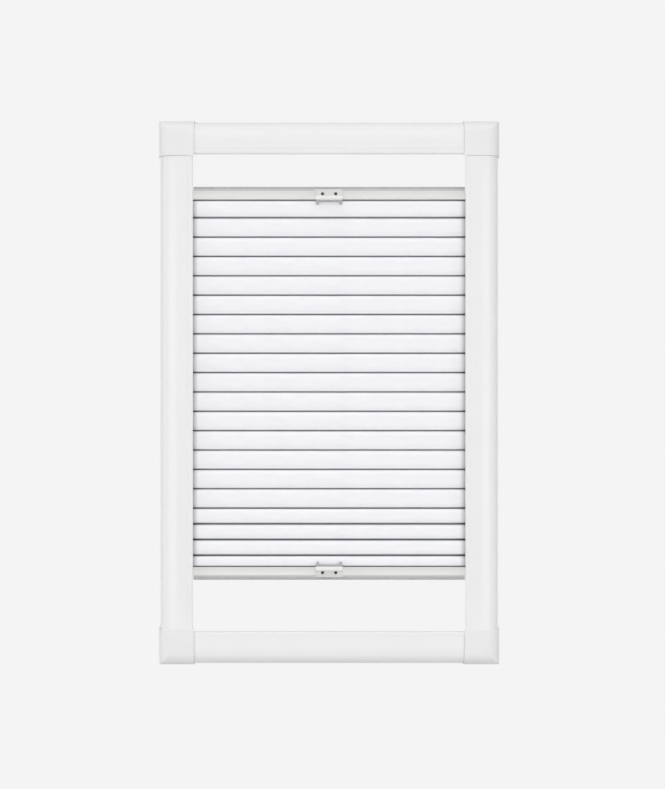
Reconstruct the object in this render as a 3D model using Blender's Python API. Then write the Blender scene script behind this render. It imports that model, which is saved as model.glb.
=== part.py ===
# Framed cellular blind: a white surround frame in which two slim rails slide up and down,
# with twenty honeycomb cells of fabric between them. Metres, +Z up, +Y into the wall.
# The origin is the middle of the top bar's back face, so the blind hangs below it.

import math

import bmesh
import bpy
from mathutils import Matrix, Vector

# Overall sizes, the gap between pieces that touch, and how far cutters and joined bodies reach
OPENING_WIDTH = 0.341
OPENING_HEIGHT = 0.597
BAR_FACE = 0.0428
FRAME_DEPTH = 0.030
FIT_GAP = 0.0003
CUT_BEYOND = 0.003
JOIN_OVERLAP = 0.001

# Bar section: rounded outer side, crowned front, bead at the inner edge, back flange a little shorter
BAR_WALL = 0.0024
ROUND_WIDTH = 0.0145
ROUND_DEPTH = 0.022
CROWN_END = 0.0245
VALLEY_POSITION = 0.0368
VALLEY_DEPTH = 0.0004
BEAD_RADIUS = 0.0026
BEAD_SETBACK = 0.0001
CHANNEL_WIDTH = 0.0228
CHANNEL_DEPTH = 0.0175
BACK_SETBACK = 0.005
ARC_STEPS = 7

# Corner caps, and the trays that they clip over
CAP_PROUD = 0.0015
CAP_FRONT_PROUD = 0.0005
CAP_OVERRUN = 0.0015
CAP_WALL = 0.0020
CAP_WALL_CLEARANCE = 0.0005
TRAY_WALL = 0.0028
TRAY_FLOOR = 0.0035
SPIGOT_LENGTH = 0.025
SPIGOT_CLEARANCE = 0.00035
WALL_SCREW_HOLE = 0.0023
WALL_SCREW_SINK = 0.0045
SCREW_CLEARANCE = 0.00035

# Rails: where they stand in the opening, and their section
TOP_GAP = 0.0395
BOTTOM_GAP = 0.0635
RAIL_HEIGHT = 0.0108
RAIL_DEPTH = 0.019
RAIL_INSET = 0.003
RAIL_WALL = 0.0013
RAIL_EDGE = 0.0006
SLOT_MOUTH = 0.007
SLOT_WIDTH = 0.0132
SLOT_HEIGHT = 0.0026
SLOT_LIP = 0.0012
SLOT_ROOF = 0.0011
CORD_ROOM = 0.0039
SEAL_SEAT_WIDTH = 0.0136
SEAL_SEAT_DEPTH = 0.0008
SEAL_HEIGHT = 0.0058
SEAL_ROUND = 0.0020
SEAL_END_CLEARANCE = 0.0002

# Shoes, cords and springs
SHOE_OVERLAP = 0.0026
SHOE_SIDE_CLEARANCE = 0.0006
SHOE_END_CLEARANCE = 0.0008
SHOE_TONGUE = 0.018
SHOE_TONGUE_SETBACK = 0.0008
SHOE_EDGE = 0.0012
CORD_RADIUS = 0.0005
CORD_LINE_INSET = 0.0115
CORD_LINE_SPREAD = 0.008
CORD_HOLE_RADIUS = 0.0013
RUN_SPREAD = 0.0028
RUN_RADIUS = 0.0004
SPRING_START = 0.055
SPRING_LENGTH = 0.030
SPRING_RADIUS = 0.00135
SPRING_WIRE = 0.00025
SPRING_TURNS = 14
SPRING_POINTS = 8
CORD_BEAD_RADIUS = 0.0018
CORD_BEAD_LENGTH = 0.0030
CORD_EYE_RADIUS = 0.0010

# Fabric cells, from the top: one a little drawn in, then open ones that share the room left between
# the rails, then those that sag together
FIRST_CELL = 0.0226
OPEN_CELLS = 15
LOW_CELL = 0.0197
LOW_CELLS = 3
LAST_CELL = 0.0140
CELL_END_CLEARANCE = 0.0004
CELL_WALL = 0.0005
GLUE_HALF = 0.0035
CELL_BULGE = 0.0063
BULGE_GAIN = 0.25
END_BULGE = 0.0070
CELL_ROUNDNESS = 0.72
CELL_STEPS = 9
STRIP_THICKNESS = 0.0007
STRIP_END_INSET = 0.0020

# Handles
HANDLE_WIDTH = 0.0344
HANDLE_OVER = 0.0019
HANDLE_UNDER = 0.0012
HANDLE_PLATE = 0.0020
HANDLE_EDGE = 0.0008
LEDGE_HEIGHT = 0.0056
LEDGE_REACH = 0.0042
LEDGE_ROUND = 0.0014
PRONG_LENGTH = 0.0058
PRONG_WIDTH = 0.0041
PRONG_TAPER = 0.0008
PRONG_THICKNESS = 0.0018
PRONG_SETBACK = 0.0020
GUSSET = 0.0026
HANDLE_SCREW_SPACING = 0.0165
HANDLE_SCREW_HEAD = 0.0018
HANDLE_SCREW_HEAD_HEIGHT = 0.0009
HANDLE_SCREW_RADIUS = 0.0010
HANDLE_SCREW_CROWN = 0.00135
HANDLE_SCREW_LENGTH = 0.0048
HANDLE_SCREW_POINT = 0.0008
HANDLE_SCREW_TIP = 0.0006
HANDLE_SCREW_RECESS = 0.0013

# Places that follow from the sizes
HALF_WIDTH = OPENING_WIDTH / 2
TOP_EDGE = -BAR_FACE / 2
BOTTOM_EDGE = TOP_EDGE - OPENING_HEIGHT
MIDDLE_Y = -FRAME_DEPTH / 2
CHANNEL_FRONT = (FRAME_DEPTH - CHANNEL_WIDTH) / 2
CHANNEL_BACK = CHANNEL_FRONT + CHANNEL_WIDTH
CHANNEL_FLOOR = BAR_FACE - CHANNEL_DEPTH
CORNER_REACH = BAR_FACE + CAP_OVERRUN
BACK_REACH = BAR_FACE - BACK_SETBACK
CHAMBER_END = CHANNEL_FLOOR - BAR_WALL
CORD_LINE = BAR_FACE - CORD_LINE_INSET
TOP_RAIL_OUTER = TOP_EDGE - TOP_GAP - SEAL_HEIGHT
TOP_RAIL_FABRIC = TOP_RAIL_OUTER - RAIL_HEIGHT
CHAMBER_LOW = SLOT_LIP + SLOT_HEIGHT + SLOT_ROOF
CHAMBER_HIGH = CHAMBER_LOW + CORD_ROOM
RAILS_AND_GAPS = TOP_GAP + BOTTOM_GAP + 2 * (SEAL_HEIGHT + RAIL_HEIGHT + FIT_GAP)
CELL_ROOM = OPENING_HEIGHT - RAILS_AND_GAPS
OPEN_CELL = (CELL_ROOM - FIRST_CELL - LOW_CELLS * LOW_CELL - LAST_CELL) / OPEN_CELLS

# Looks: colour, roughness, metallic
FRAME_WHITE = ((0.86, 0.86, 0.86), 0.35, 0.0)
SHOE_WHITE = ((0.84, 0.84, 0.84), 0.5, 0.0)
FABRIC = ((0.88, 0.87, 0.90), 0.9, 0.0)
RAIL_SILVER = ((0.74, 0.74, 0.74), 0.4, 0.0)
SEAL_GREY = ((0.42, 0.42, 0.42), 0.8, 0.0)
HANDLE_GREY = ((0.66, 0.66, 0.65), 0.4, 0.0)
SCREW_DARK = ((0.06, 0.06, 0.06), 0.4, 1.0)
CORD_WHITE = ((0.80, 0.80, 0.78), 0.7, 0.0)
STRIP_WHITE = ((0.80, 0.80, 0.78), 0.5, 0.0)
STEEL = ((0.55, 0.55, 0.55), 0.3, 1.0)


def clear_scene():
    for obj in list(bpy.data.objects):
        bpy.data.objects.remove(obj, do_unlink=True)


def make_material(name, look):
    colour, roughness, metallic = look
    material = bpy.data.materials.new(name)
    material.use_nodes = True
    shader = material.node_tree.nodes["Principled BSDF"]
    shader.inputs["Base Color"].default_value = (*colour, 1.0)
    shader.inputs["Roughness"].default_value = roughness
    shader.inputs["Metallic"].default_value = metallic
    return material


def finish_mesh(name, mesh_data, look, smooth=False):
    """One named object from a bmesh, with faces out and its own material."""
    bmesh.ops.recalc_face_normals(mesh_data, faces=mesh_data.faces)
    mesh = bpy.data.meshes.new(name)
    mesh_data.to_mesh(mesh)
    mesh_data.free()
    if smooth:
        mesh.shade_smooth()
        mesh.set_sharp_from_angle(angle=math.radians(35))
    mesh.materials.append(make_material(name, look))
    obj = bpy.data.objects.new(name, mesh)
    bpy.context.scene.collection.objects.link(obj)
    return obj


def add_prism(mesh_data, loops, start, end, place):
    """A closed prism: flat loops (outline first, then holes) filled at start and drawn out to end.

    place turns (a, b, along) into a point of the blind."""
    edges = []
    for loop in loops:
        points = [mesh_data.verts.new(place(a, b, start)) for a, b in loop]
        for i, point in enumerate(points):
            edges.append(mesh_data.edges.new((point, points[(i + 1) % len(points)])))
    filled = bmesh.ops.triangle_fill(mesh_data, use_beauty=True, edges=edges)
    faces = [part for part in filled["geom"] if isinstance(part, bmesh.types.BMFace)]
    drawn = bmesh.ops.extrude_face_region(mesh_data, geom=faces, use_keep_orig=True)
    moved = [part for part in drawn["geom"] if isinstance(part, bmesh.types.BMVert)]
    travel = Vector(place(0, 0, end)) - Vector(place(0, 0, start))
    bmesh.ops.translate(mesh_data, verts=moved, vec=travel)


def prism(name, loops, start, end, place, look, smooth=False):
    mesh_data = bmesh.new()
    add_prism(mesh_data, loops, start, end, place)
    return finish_mesh(name, mesh_data, look, smooth)


def rectangle(low_a, high_a, low_b, high_b, corner=0.0):
    """A rectangle's loop, with its corners cut off if a corner size is given."""
    if corner == 0.0:
        return [(low_a, low_b), (high_a, low_b), (high_a, high_b), (low_a, high_b)]
    return [
        (low_a + corner, low_b),
        (high_a - corner, low_b),
        (high_a, low_b + corner),
        (high_a, high_b - corner),
        (high_a - corner, high_b),
        (low_a + corner, high_b),
        (low_a, high_b - corner),
        (low_a, low_b + corner),
    ]


def add_turned(mesh_data, profile, base, direction, sides=12):
    """A turned solid: profile is (radius, height) from the base upwards, closed by flat ends."""
    turn = Vector((0, 0, 1)).rotation_difference(Vector(direction)).to_matrix()
    rings = []
    for radius, height in profile:
        ring = []
        for i in range(sides):
            angle = 2 * math.pi * i / sides
            point = Vector((radius * math.cos(angle), radius * math.sin(angle), height))
            ring.append(mesh_data.verts.new(Vector(base) + turn @ point))
        rings.append(ring)
    mesh_data.faces.new(rings[0][::-1])
    mesh_data.faces.new(rings[-1])
    for low, high in zip(rings, rings[1:]):
        for i in range(sides):
            j = (i + 1) % sides
            mesh_data.faces.new((low[i], low[j], high[j], high[i]))


def cutter(name, mesh_data):
    """A hidden body that only shapes another one."""
    obj = finish_mesh(name, mesh_data, FRAME_WHITE)
    obj.hide_render = True
    obj.display_type = "WIRE"
    return obj


def combine(obj, other, operation):
    modifier = obj.modifiers.new(other.name, "BOOLEAN")
    modifier.object = other
    modifier.operation = operation
    modifier.solver = "EXACT"
    other.parent = obj
    return obj


def carry(name, place, pieces):
    """An empty on the sliding axis, which carries the pieces that move together."""
    carrier = bpy.data.objects.new(name, None)
    carrier.location = place
    bpy.context.scene.collection.objects.link(carrier)
    for piece in pieces:
        piece.parent = carrier
        piece.matrix_parent_inverse = Matrix.Translation(place).inverted()


# Frame sections are drawn as (u, d): u from the outer side to the inner edge, d back from the crown.


def rounded_side(grow=0.0, front=0.0):
    """The outer side's quarter ellipse, from the side to the crown, offset outwards by grow."""
    points = []
    for step in range(ARC_STEPS + 1):
        angle = math.pi / 2 * step / ARC_STEPS
        u = ROUND_WIDTH - (ROUND_WIDTH + grow) * math.cos(angle)
        d = ROUND_DEPTH - (ROUND_DEPTH + front) * math.sin(angle)
        points.append((u, d))
    return points


def bead():
    """The bead at the inner edge, from the valley round to the edge's flat."""
    centre_u = BAR_FACE - BEAD_RADIUS
    centre_d = BEAD_RADIUS + BEAD_SETBACK
    points = []
    for degrees in (120, 90, 60, 30, 0):
        angle = math.radians(degrees)
        u = centre_u + BEAD_RADIUS * math.cos(angle)
        d = centre_d - BEAD_RADIUS * math.sin(angle)
        points.append((u, d))
    return points


def bar_outline():
    loop = [(0, FRAME_DEPTH)]
    loop += rounded_side()
    loop.append((CROWN_END, 0))
    loop.append((VALLEY_POSITION, VALLEY_DEPTH))
    loop += bead()
    loop.append((BAR_FACE, CHANNEL_FRONT))
    loop.append((CHANNEL_FLOOR, CHANNEL_FRONT))
    loop.append((CHANNEL_FLOOR, CHANNEL_BACK))
    loop.append((BACK_REACH, CHANNEL_BACK))
    loop.append((BACK_REACH, FRAME_DEPTH))
    return loop


def chamber_outline(clearance=0.0):
    """The hollow at the bar's outer side, or what fits in it with a clearance."""
    inset = BAR_WALL + clearance
    loop = [(inset, FRAME_DEPTH - inset)]
    loop += rounded_side(-inset, -inset)
    loop.append((CHAMBER_END - clearance, inset))
    loop.append((CHAMBER_END - clearance, FRAME_DEPTH - inset))
    return loop


def outer_left():
    return -HALF_WIDTH - BAR_FACE


def outer_top():
    return BAR_FACE / 2


def outer_bottom():
    return BOTTOM_EDGE - BAR_FACE


def on_top(u, d, along):
    return (along, d - FRAME_DEPTH, outer_top() - u)


def on_bottom(u, d, along):
    return (along, d - FRAME_DEPTH, outer_bottom() + u)


def on_left(u, d, along):
    return (outer_left() + u, d - FRAME_DEPTH, along)


def on_right(u, d, along):
    return (-outer_left() - u, d - FRAME_DEPTH, along)


SIDES = {"top": on_top, "bottom": on_bottom, "left": on_left, "right": on_right}
CORNERS = [("top", "left"), ("top", "right"), ("bottom", "left"), ("bottom", "right")]


def inwards(side):
    """The direction along a bar from the corner that lies at the named side."""
    return {"left": 1, "right": -1, "top": -1, "bottom": 1}[side]


def corner_station(side, distance):
    """The coordinate along a bar at a distance from the outer side at its end."""
    edge = {"left": outer_left(), "right": -outer_left(), "top": outer_top(), "bottom": outer_bottom()}
    return edge[side] + inwards(side) * distance


def make_bars():
    reach = CORNER_REACH + FIT_GAP
    for side, place in SIDES.items():
        ends = ("left", "right") if side in ("top", "bottom") else ("bottom", "top")
        start, end = (corner_station(other, reach) for other in ends)
        loops = [bar_outline(), chamber_outline()]
        prism(side + "_bar", loops, start, end, place, FRAME_WHITE, smooth=True)


def corner_body(name, level, side, grow, front, back, reach):
    """The solid under both rounded sides at a corner: two crossed prisms, whose mitre makes the crease."""
    loop = [(-grow, back)] + rounded_side(grow, front) + [(reach, -front), (reach, back)]
    bodies = []
    for along, place in ((side, SIDES[level]), (level, SIDES[side])):
        mesh_data = bmesh.new()
        start = corner_station(along, -grow - CUT_BEYOND)
        end = corner_station(along, reach)
        add_prism(mesh_data, [loop], min(start, end), max(start, end), place)
        bodies.append(mesh_data)
    first = finish_mesh(name, bodies[0], FRAME_WHITE, smooth=True)
    second = cutter(name + "_mitre", bodies[1])
    return combine(first, second, "INTERSECT")


def make_corner_cap(level, side):
    name = f"corner_cap_{level}_{side}"
    back = FRAME_DEPTH - CAP_WALL_CLEARANCE
    cap = corner_body(name, level, side, CAP_PROUD, CAP_FRONT_PROUD, back, CORNER_REACH)
    grow = CAP_PROUD - CAP_WALL
    front = CAP_FRONT_PROUD - CAP_WALL
    reach = CORNER_REACH + CUT_BEYOND
    hollow = corner_body(name + "_hollow", level, side, grow, front, back + CUT_BEYOND, reach)
    hollow.hide_render = True
    hollow.display_type = "WIRE"
    return combine(cap, hollow, "DIFFERENCE")


def tray_box(level, side, across, along, front, back):
    """An upright box in a corner: its span across the level bar, and its span along that bar."""
    mesh_data = bmesh.new()
    start, end = (corner_station(side, value) for value in along)
    loop = rectangle(*across, front, back)
    add_prism(mesh_data, [loop], min(start, end), max(start, end), SIDES[level])
    return mesh_data


def spigot(level, side):
    """The part of a tray that enters the bar at the named level, starting inside the tray's wall."""
    mesh_data = bmesh.new()
    start = corner_station(side, CORNER_REACH - TRAY_WALL / 2)
    end = corner_station(side, CORNER_REACH + SPIGOT_LENGTH)
    loop = chamber_outline(SPIGOT_CLEARANCE)
    add_prism(mesh_data, [loop], min(start, end), max(start, end), SIDES[level])
    return mesh_data


def cord_eyes(level, side):
    """Where the two tension cords of a side leave the tray: (x, y, z of the tray's outer face)."""
    face = corner_station(level, CORNER_REACH - FIT_GAP)
    x = corner_station(side, CORD_LINE)
    return [(x, MIDDLE_Y + offset, face) for offset in (-CORD_LINE_SPREAD / 2, CORD_LINE_SPREAD / 2)]


def make_corner_joint(level, side):
    name = f"corner_joint_{level}_{side}"
    grow = CAP_PROUD - CAP_WALL - FIT_GAP
    front = CAP_FRONT_PROUD - CAP_WALL - FIT_GAP
    reach = CORNER_REACH - FIT_GAP
    tray = corner_body(name, level, side, grow, front, FRAME_DEPTH, reach)
    low, high = TRAY_WALL - grow, reach - TRAY_WALL
    floor = FRAME_DEPTH - TRAY_FLOOR
    room = {"level": [(low, BACK_REACH - TRAY_WALL), (low, high)]}
    room["side"] = room["level"][::-1]
    for leg, spans in room.items():
        pocket = tray_box(level, side, *spans, -CUT_BEYOND, floor)
        combine(tray, cutter(f"{name}_pocket_{leg}", pocket), "DIFFERENCE")
    clear = (BACK_REACH, reach + CUT_BEYOND)
    rebate = tray_box(level, side, clear, clear, -CUT_BEYOND, FRAME_DEPTH + CUT_BEYOND)
    combine(tray, cutter(name + "_rebate", rebate), "DIFFERENCE")
    combine(tray, cutter(name + "_spigot_level", spigot(level, side)), "UNION")
    combine(tray, cutter(name + "_spigot_side", spigot(side, level)), "UNION")
    holes = bmesh.new()
    middle = (low + high) / 2
    centre = (corner_station(side, middle), corner_station(level, middle))
    sink = WALL_SCREW_SINK - WALL_SCREW_HOLE
    profile = [
        (WALL_SCREW_SINK, -CUT_BEYOND),
        (WALL_SCREW_SINK, 0),
        (WALL_SCREW_HOLE, sink),
        (WALL_SCREW_HOLE, TRAY_FLOOR + CUT_BEYOND),
    ]
    add_turned(holes, profile, (centre[0], floor - FRAME_DEPTH, centre[1]), (0, 1, 0), 16)
    down = inwards(level)
    behind = TRAY_WALL + CUT_BEYOND
    for x, y, z in cord_eyes(level, side):
        ends = [(CORD_EYE_RADIUS, 0), (CORD_EYE_RADIUS, behind + CUT_BEYOND)]
        add_turned(holes, ends, (x, y, z - down * behind), (0, 0, down), 10)
    combine(tray, cutter(name + "_holes", holes), "DIFFERENCE")
    return tray


def make_corners():
    for level, side in CORNERS:
        make_corner_cap(level, side)
        make_corner_joint(level, side)


def make_guide_cords():
    """Full-height cords in the side channels, which the shoes run along, with a bead in the tray at each end."""
    behind = TRAY_WALL + FIT_GAP
    for side in ("left", "right"):
        tops = cord_eyes("top", side)
        feet = cord_eyes("bottom", side)
        for place, top, foot in zip(("front", "back"), tops, feet):
            length = top[2] - foot[2] + 2 * behind
            profile = [
                (CORD_BEAD_RADIUS, -CORD_BEAD_LENGTH),
                (CORD_BEAD_RADIUS, 0),
                (CORD_RADIUS, 0),
                (CORD_RADIUS, length),
                (CORD_BEAD_RADIUS, length),
                (CORD_BEAD_RADIUS, length + CORD_BEAD_LENGTH),
            ]
            mesh_data = bmesh.new()
            add_turned(mesh_data, profile, (foot[0], foot[1], foot[2] - behind), (0, 0, 1), 8)
            finish_mesh(f"guide_cord_{side}_{place}", mesh_data, CORD_WHITE)


# A rail is drawn as (p, q): p across its depth, q from its fabric side to its outer side.


class RailPlace:
    """Where a rail stands, and which way up. The bottom rail is the top one turned over."""

    def __init__(self, name, fabric_side, outwards):
        self.name = name
        self.fabric_side = fabric_side
        self.outwards = outwards

    def section(self, p, q, along):
        return (along, MIDDLE_Y + p, self.fabric_side + self.outwards * q)

    def front(self, along, q, depth):
        """A point given by its place on the face and its distance in front of the middle."""
        return (along, MIDDLE_Y - depth, self.fabric_side + self.outwards * q)

    def end_on(self, depth, q, along):
        return self.front(along, q, depth)

    def line(self):
        """Which of the side cords the rail holds on by: the front ones or the back ones."""
        return -CORD_LINE_SPREAD / 2 if self.outwards > 0 else CORD_LINE_SPREAD / 2


def rail_outline():
    half = RAIL_DEPTH / 2
    mouth = SLOT_MOUTH / 2
    slot = SLOT_WIDTH / 2
    seat = SEAL_SEAT_WIDTH / 2
    roof = SLOT_LIP + SLOT_HEIGHT
    right = [
        (mouth, SLOT_LIP),
        (mouth, 0),
        (half - RAIL_EDGE, 0),
        (half, RAIL_EDGE),
        (half, RAIL_HEIGHT - RAIL_EDGE),
        (half - RAIL_EDGE, RAIL_HEIGHT),
        (seat, RAIL_HEIGHT),
        (seat, RAIL_HEIGHT - SEAL_SEAT_DEPTH),
    ]
    right = [(slot, roof), (slot, SLOT_LIP)] + right
    left = [(-p, q) for p, q in reversed(right)]
    return right + left


def rail_chamber():
    half = RAIL_DEPTH / 2 - RAIL_WALL
    return rectangle(-half, half, CHAMBER_LOW, CHAMBER_HIGH)


def handle_screw_stations():
    return (-HANDLE_SCREW_SPACING / 2, HANDLE_SCREW_SPACING / 2)


def handle_screw_level():
    return (CHAMBER_LOW + CHAMBER_HIGH) / 2


def make_rail(rail):
    reach = HALF_WIDTH + RAIL_INSET
    loops = [rail_outline(), rail_chamber()]
    body = prism(rail.name + "_rail", loops, -reach, reach, rail.section, RAIL_SILVER)
    holes = bmesh.new()
    radius = HANDLE_SCREW_RADIUS + SCREW_CLEARANCE
    start = RAIL_DEPTH / 2 - 2 * RAIL_WALL
    for x in handle_screw_stations():
        base = rail.front(x, handle_screw_level(), start)
        add_turned(holes, [(radius, 0), (radius, 4 * RAIL_WALL)], base, (0, -1, 0), 12)
    return combine(body, cutter(rail.name + "_rail_holes", holes), "DIFFERENCE")


def make_seal(rail):
    """A grey strip with a rounded edge, seated in the rail's groove."""
    half = SEAL_SEAT_WIDTH / 2 - FIT_GAP
    foot = RAIL_HEIGHT - SEAL_SEAT_DEPTH + FIT_GAP
    top = RAIL_HEIGHT + SEAL_HEIGHT
    shoulder = top - SEAL_ROUND
    loop = [(-half, foot), (half, foot), (half, shoulder)]
    for degrees in (30, 60, 90, 120, 150):
        angle = math.radians(degrees)
        loop.append((half * math.cos(angle), shoulder + (top - shoulder) * math.sin(angle)))
    loop.append((-half, shoulder))
    reach = HALF_WIDTH - SEAL_END_CLEARANCE
    return prism(rail.name + "_seal", [loop], -reach, reach, rail.section, SEAL_GREY, smooth=True)


def shoe_tongue(rail, sign, near):
    """The shoe's tongue in the rail's chamber, on the side that the cord runs leave free."""
    mesh_data = bmesh.new()
    low, high = sorted((sign * (near - SHOE_TONGUE), sign * (near + JOIN_OVERLAP)))
    away = -1 if rail.line() > 0 else 1
    wall = RAIL_DEPTH / 2 - RAIL_WALL - FIT_GAP
    sides = sorted((away * SHOE_TONGUE_SETBACK, away * wall))
    loop = rectangle(sides[0], sides[1], CHAMBER_LOW + FIT_GAP, CHAMBER_HIGH - FIT_GAP)
    add_prism(mesh_data, [loop], low, high, rail.section)
    return mesh_data


def shoe_cord_holes(rail, sign):
    """The two upright holes that the side's tension cords run through."""
    mesh_data = bmesh.new()
    below = SHOE_OVERLAP + CUT_BEYOND
    profile = [(CORD_HOLE_RADIUS, 0), (CORD_HOLE_RADIUS, RAIL_HEIGHT + 2 * below)]
    for offset in (-CORD_LINE_SPREAD / 2, CORD_LINE_SPREAD / 2):
        base = rail.section(offset, -below, sign * (HALF_WIDTH + CORD_LINE_INSET))
        add_turned(mesh_data, profile, base, (0, 0, rail.outwards), 10)
    return mesh_data


def shoe_cord_turn(rail, sign, near):
    """The slot in which the rail's cord runs turn into one of those holes."""
    mesh_data = bmesh.new()
    reach = RUN_SPREAD / 2 + RUN_RADIUS + 2 * FIT_GAP
    level = handle_screw_level()
    sides = (rail.line() - reach, rail.line() + reach)
    loop = rectangle(*sides, level - CORD_HOLE_RADIUS, level + CORD_HOLE_RADIUS)
    low, high = sorted((sign * (near - CUT_BEYOND), sign * (HALF_WIDTH + CORD_LINE_INSET)))
    add_prism(mesh_data, [loop], low, high, rail.section)
    return mesh_data


def make_shoe(rail, side):
    """The end piece: a block in the side channel, with a tongue in the rail's chamber."""
    name = f"{rail.name}_shoe_{side}"
    sign = -1 if side == "left" else 1
    half = CHANNEL_WIDTH / 2 - SHOE_SIDE_CLEARANCE
    near = HALF_WIDTH + RAIL_INSET + FIT_GAP
    far = HALF_WIDTH + CHANNEL_DEPTH - SHOE_END_CLEARANCE
    low, high = sorted((sign * near, sign * far))
    loop = rectangle(-half, half, -SHOE_OVERLAP, RAIL_HEIGHT + SHOE_OVERLAP, SHOE_EDGE)
    shoe = prism(name, [loop], low, high, rail.section, SHOE_WHITE)
    combine(shoe, cutter(name + "_tongue", shoe_tongue(rail, sign, near)), "UNION")
    combine(shoe, cutter(name + "_cord_holes", shoe_cord_holes(rail, sign)), "DIFFERENCE")
    return combine(shoe, cutter(name + "_cord_turn", shoe_cord_turn(rail, sign, near)), "DIFFERENCE")


def make_rail_cords(rail):
    """The two runs across the rail. The front one has the spring in its length."""
    reach = HALF_WIDTH + CORD_LINE_INSET - CORD_RADIUS - 3 * FIT_GAP
    level = handle_screw_level()
    front_run = rail.line() - RUN_SPREAD / 2
    back_run = rail.line() + RUN_SPREAD / 2
    spring_end = SPRING_START + SPRING_LENGTH
    lead = FIT_GAP + SPRING_WIRE
    stretches = {
        "front_left": (-reach, SPRING_START - lead, front_run),
        "front_right": (spring_end + lead, reach, front_run),
        "back": (-reach, reach, back_run),
    }
    runs = []
    for name, (low, high, p) in stretches.items():
        mesh_data = bmesh.new()
        base = rail.section(p, level, low)
        add_turned(mesh_data, [(RUN_RADIUS, 0), (RUN_RADIUS, high - low)], base, (1, 0, 0), 8)
        runs.append(finish_mesh(f"{rail.name}_cord_{name}", mesh_data, CORD_WHITE))
    return runs


def make_spring(rail):
    """The tension spring, one unbroken helix of round wire."""
    name = rail.name + "_rail_spring"
    centre = rail.section(rail.line() - RUN_SPREAD / 2, handle_screw_level(), 0)
    curve = bpy.data.curves.new(name, "CURVE")
    curve.dimensions = "3D"
    curve.bevel_depth = SPRING_WIRE
    curve.bevel_resolution = 1
    curve.use_fill_caps = True
    count = SPRING_TURNS * SPRING_POINTS + 1
    points = []
    for i in range(count):
        angle = 2 * math.pi * i / SPRING_POINTS
        along = SPRING_START + SPRING_LENGTH * i / (count - 1)
        y = centre[1] + SPRING_RADIUS * math.cos(angle)
        z = centre[2] + SPRING_RADIUS * math.sin(angle)
        points.append((along, y, z))
    spline = curve.splines.new("POLY")
    spline.points.add(count - 1)
    for point, place in zip(spline.points, points):
        point.co = (*place, 1.0)
    curve.materials.append(make_material(name, STEEL))
    obj = bpy.data.objects.new(name, curve)
    bpy.context.scene.collection.objects.link(obj)
    turns = zip(points, points[SPRING_POINTS:])
    apart = min(math.dist(one, other) for one, other in turns)
    print(f"{name}: least gap between turns {(apart - 2 * SPRING_WIRE) * 1000:.2f} mm")
    return obj


def make_fabric_strip(rail):
    """The flat strip inside the end cell, which keeps it in the rail's slot."""
    half = SLOT_WIDTH / 2 - 2 * FIT_GAP - CELL_WALL - FIT_GAP
    low = SLOT_LIP + 2 * FIT_GAP + CELL_WALL
    loop = rectangle(-half, half, low, low + STRIP_THICKNESS)
    reach = HALF_WIDTH + RAIL_INSET - STRIP_END_INSET
    return prism(rail.name + "_fabric_strip", [loop], -reach, reach, rail.section, STRIP_WHITE)


def ledge_outline(back, low, reach):
    """The finger ledge's section as (depth, q): square at the plate and rounded at the front."""
    top = low + LEDGE_HEIGHT
    centre = reach - LEDGE_ROUND
    loop = [(back, low)]
    for middle, start in ((low + LEDGE_ROUND, -90), (top - LEDGE_ROUND, 0)):
        for step in range(4):
            angle = math.radians(start + 30 * step)
            depth = centre + LEDGE_ROUND * math.cos(angle)
            loop.append((depth, middle + LEDGE_ROUND * math.sin(angle)))
    loop.append((back, top))
    return loop


def prong_outline(sign, outer, low):
    """One prong as (x, q), with the gusset at its root."""
    return [
        (sign * outer, low + JOIN_OVERLAP),
        (sign * (outer - PRONG_TAPER / 2), low - PRONG_LENGTH),
        (sign * (outer - PRONG_WIDTH + PRONG_TAPER), low - PRONG_LENGTH),
        (sign * (outer - PRONG_WIDTH), low - GUSSET),
        (sign * (outer - PRONG_WIDTH - GUSSET), low),
        (sign * (outer - PRONG_WIDTH - GUSSET), low + JOIN_OVERLAP),
    ]


def handle_screw_recesses(rail, back):
    """The stepped holes that sink the screw heads into the plate."""
    mesh_data = bmesh.new()
    through = HANDLE_SCREW_RADIUS + SCREW_CLEARANCE
    recess = HANDLE_SCREW_HEAD + SCREW_CLEARANCE
    shelf = CUT_BEYOND + HANDLE_PLATE - HANDLE_SCREW_RECESS
    top = shelf + HANDLE_SCREW_RECESS + CUT_BEYOND
    profile = [(through, 0), (through, shelf), (recess, shelf), (recess, top)]
    for x in handle_screw_stations():
        base = rail.front(x, handle_screw_level(), back - CUT_BEYOND)
        add_turned(mesh_data, profile, base, (0, -1, 0), 14)
    return mesh_data


def make_handle(rail):
    """A plate on the rail's face with a rounded finger ledge and two gusseted prongs."""
    name = rail.name + "_handle"
    half = HANDLE_WIDTH / 2
    back = RAIL_DEPTH / 2 + FIT_GAP
    front = back + HANDLE_PLATE
    low, high = -HANDLE_UNDER, RAIL_HEIGHT + HANDLE_OVER
    face = [rectangle(-half, half, low, high, HANDLE_EDGE)]
    handle = prism(name, face, back, front, rail.front, HANDLE_GREY, smooth=True)

    ledge = bmesh.new()
    loop = ledge_outline(back + HANDLE_PLATE / 2, low, front + LEDGE_REACH)
    across = half - HANDLE_EDGE / 2
    add_prism(ledge, [loop], -across, across, rail.end_on)
    combine(handle, cutter(name + "_ledge", ledge), "UNION")

    prongs = bmesh.new()
    start = back + PRONG_SETBACK - PRONG_THICKNESS / 4
    for sign in (-1, 1):
        loop = prong_outline(sign, half - HANDLE_EDGE, low)
        add_prism(prongs, [loop], start, start + PRONG_THICKNESS, rail.front)
    combine(handle, cutter(name + "_prongs", prongs), "UNION")
    return combine(handle, cutter(name + "_holes", handle_screw_recesses(rail, back)), "DIFFERENCE")


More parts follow.
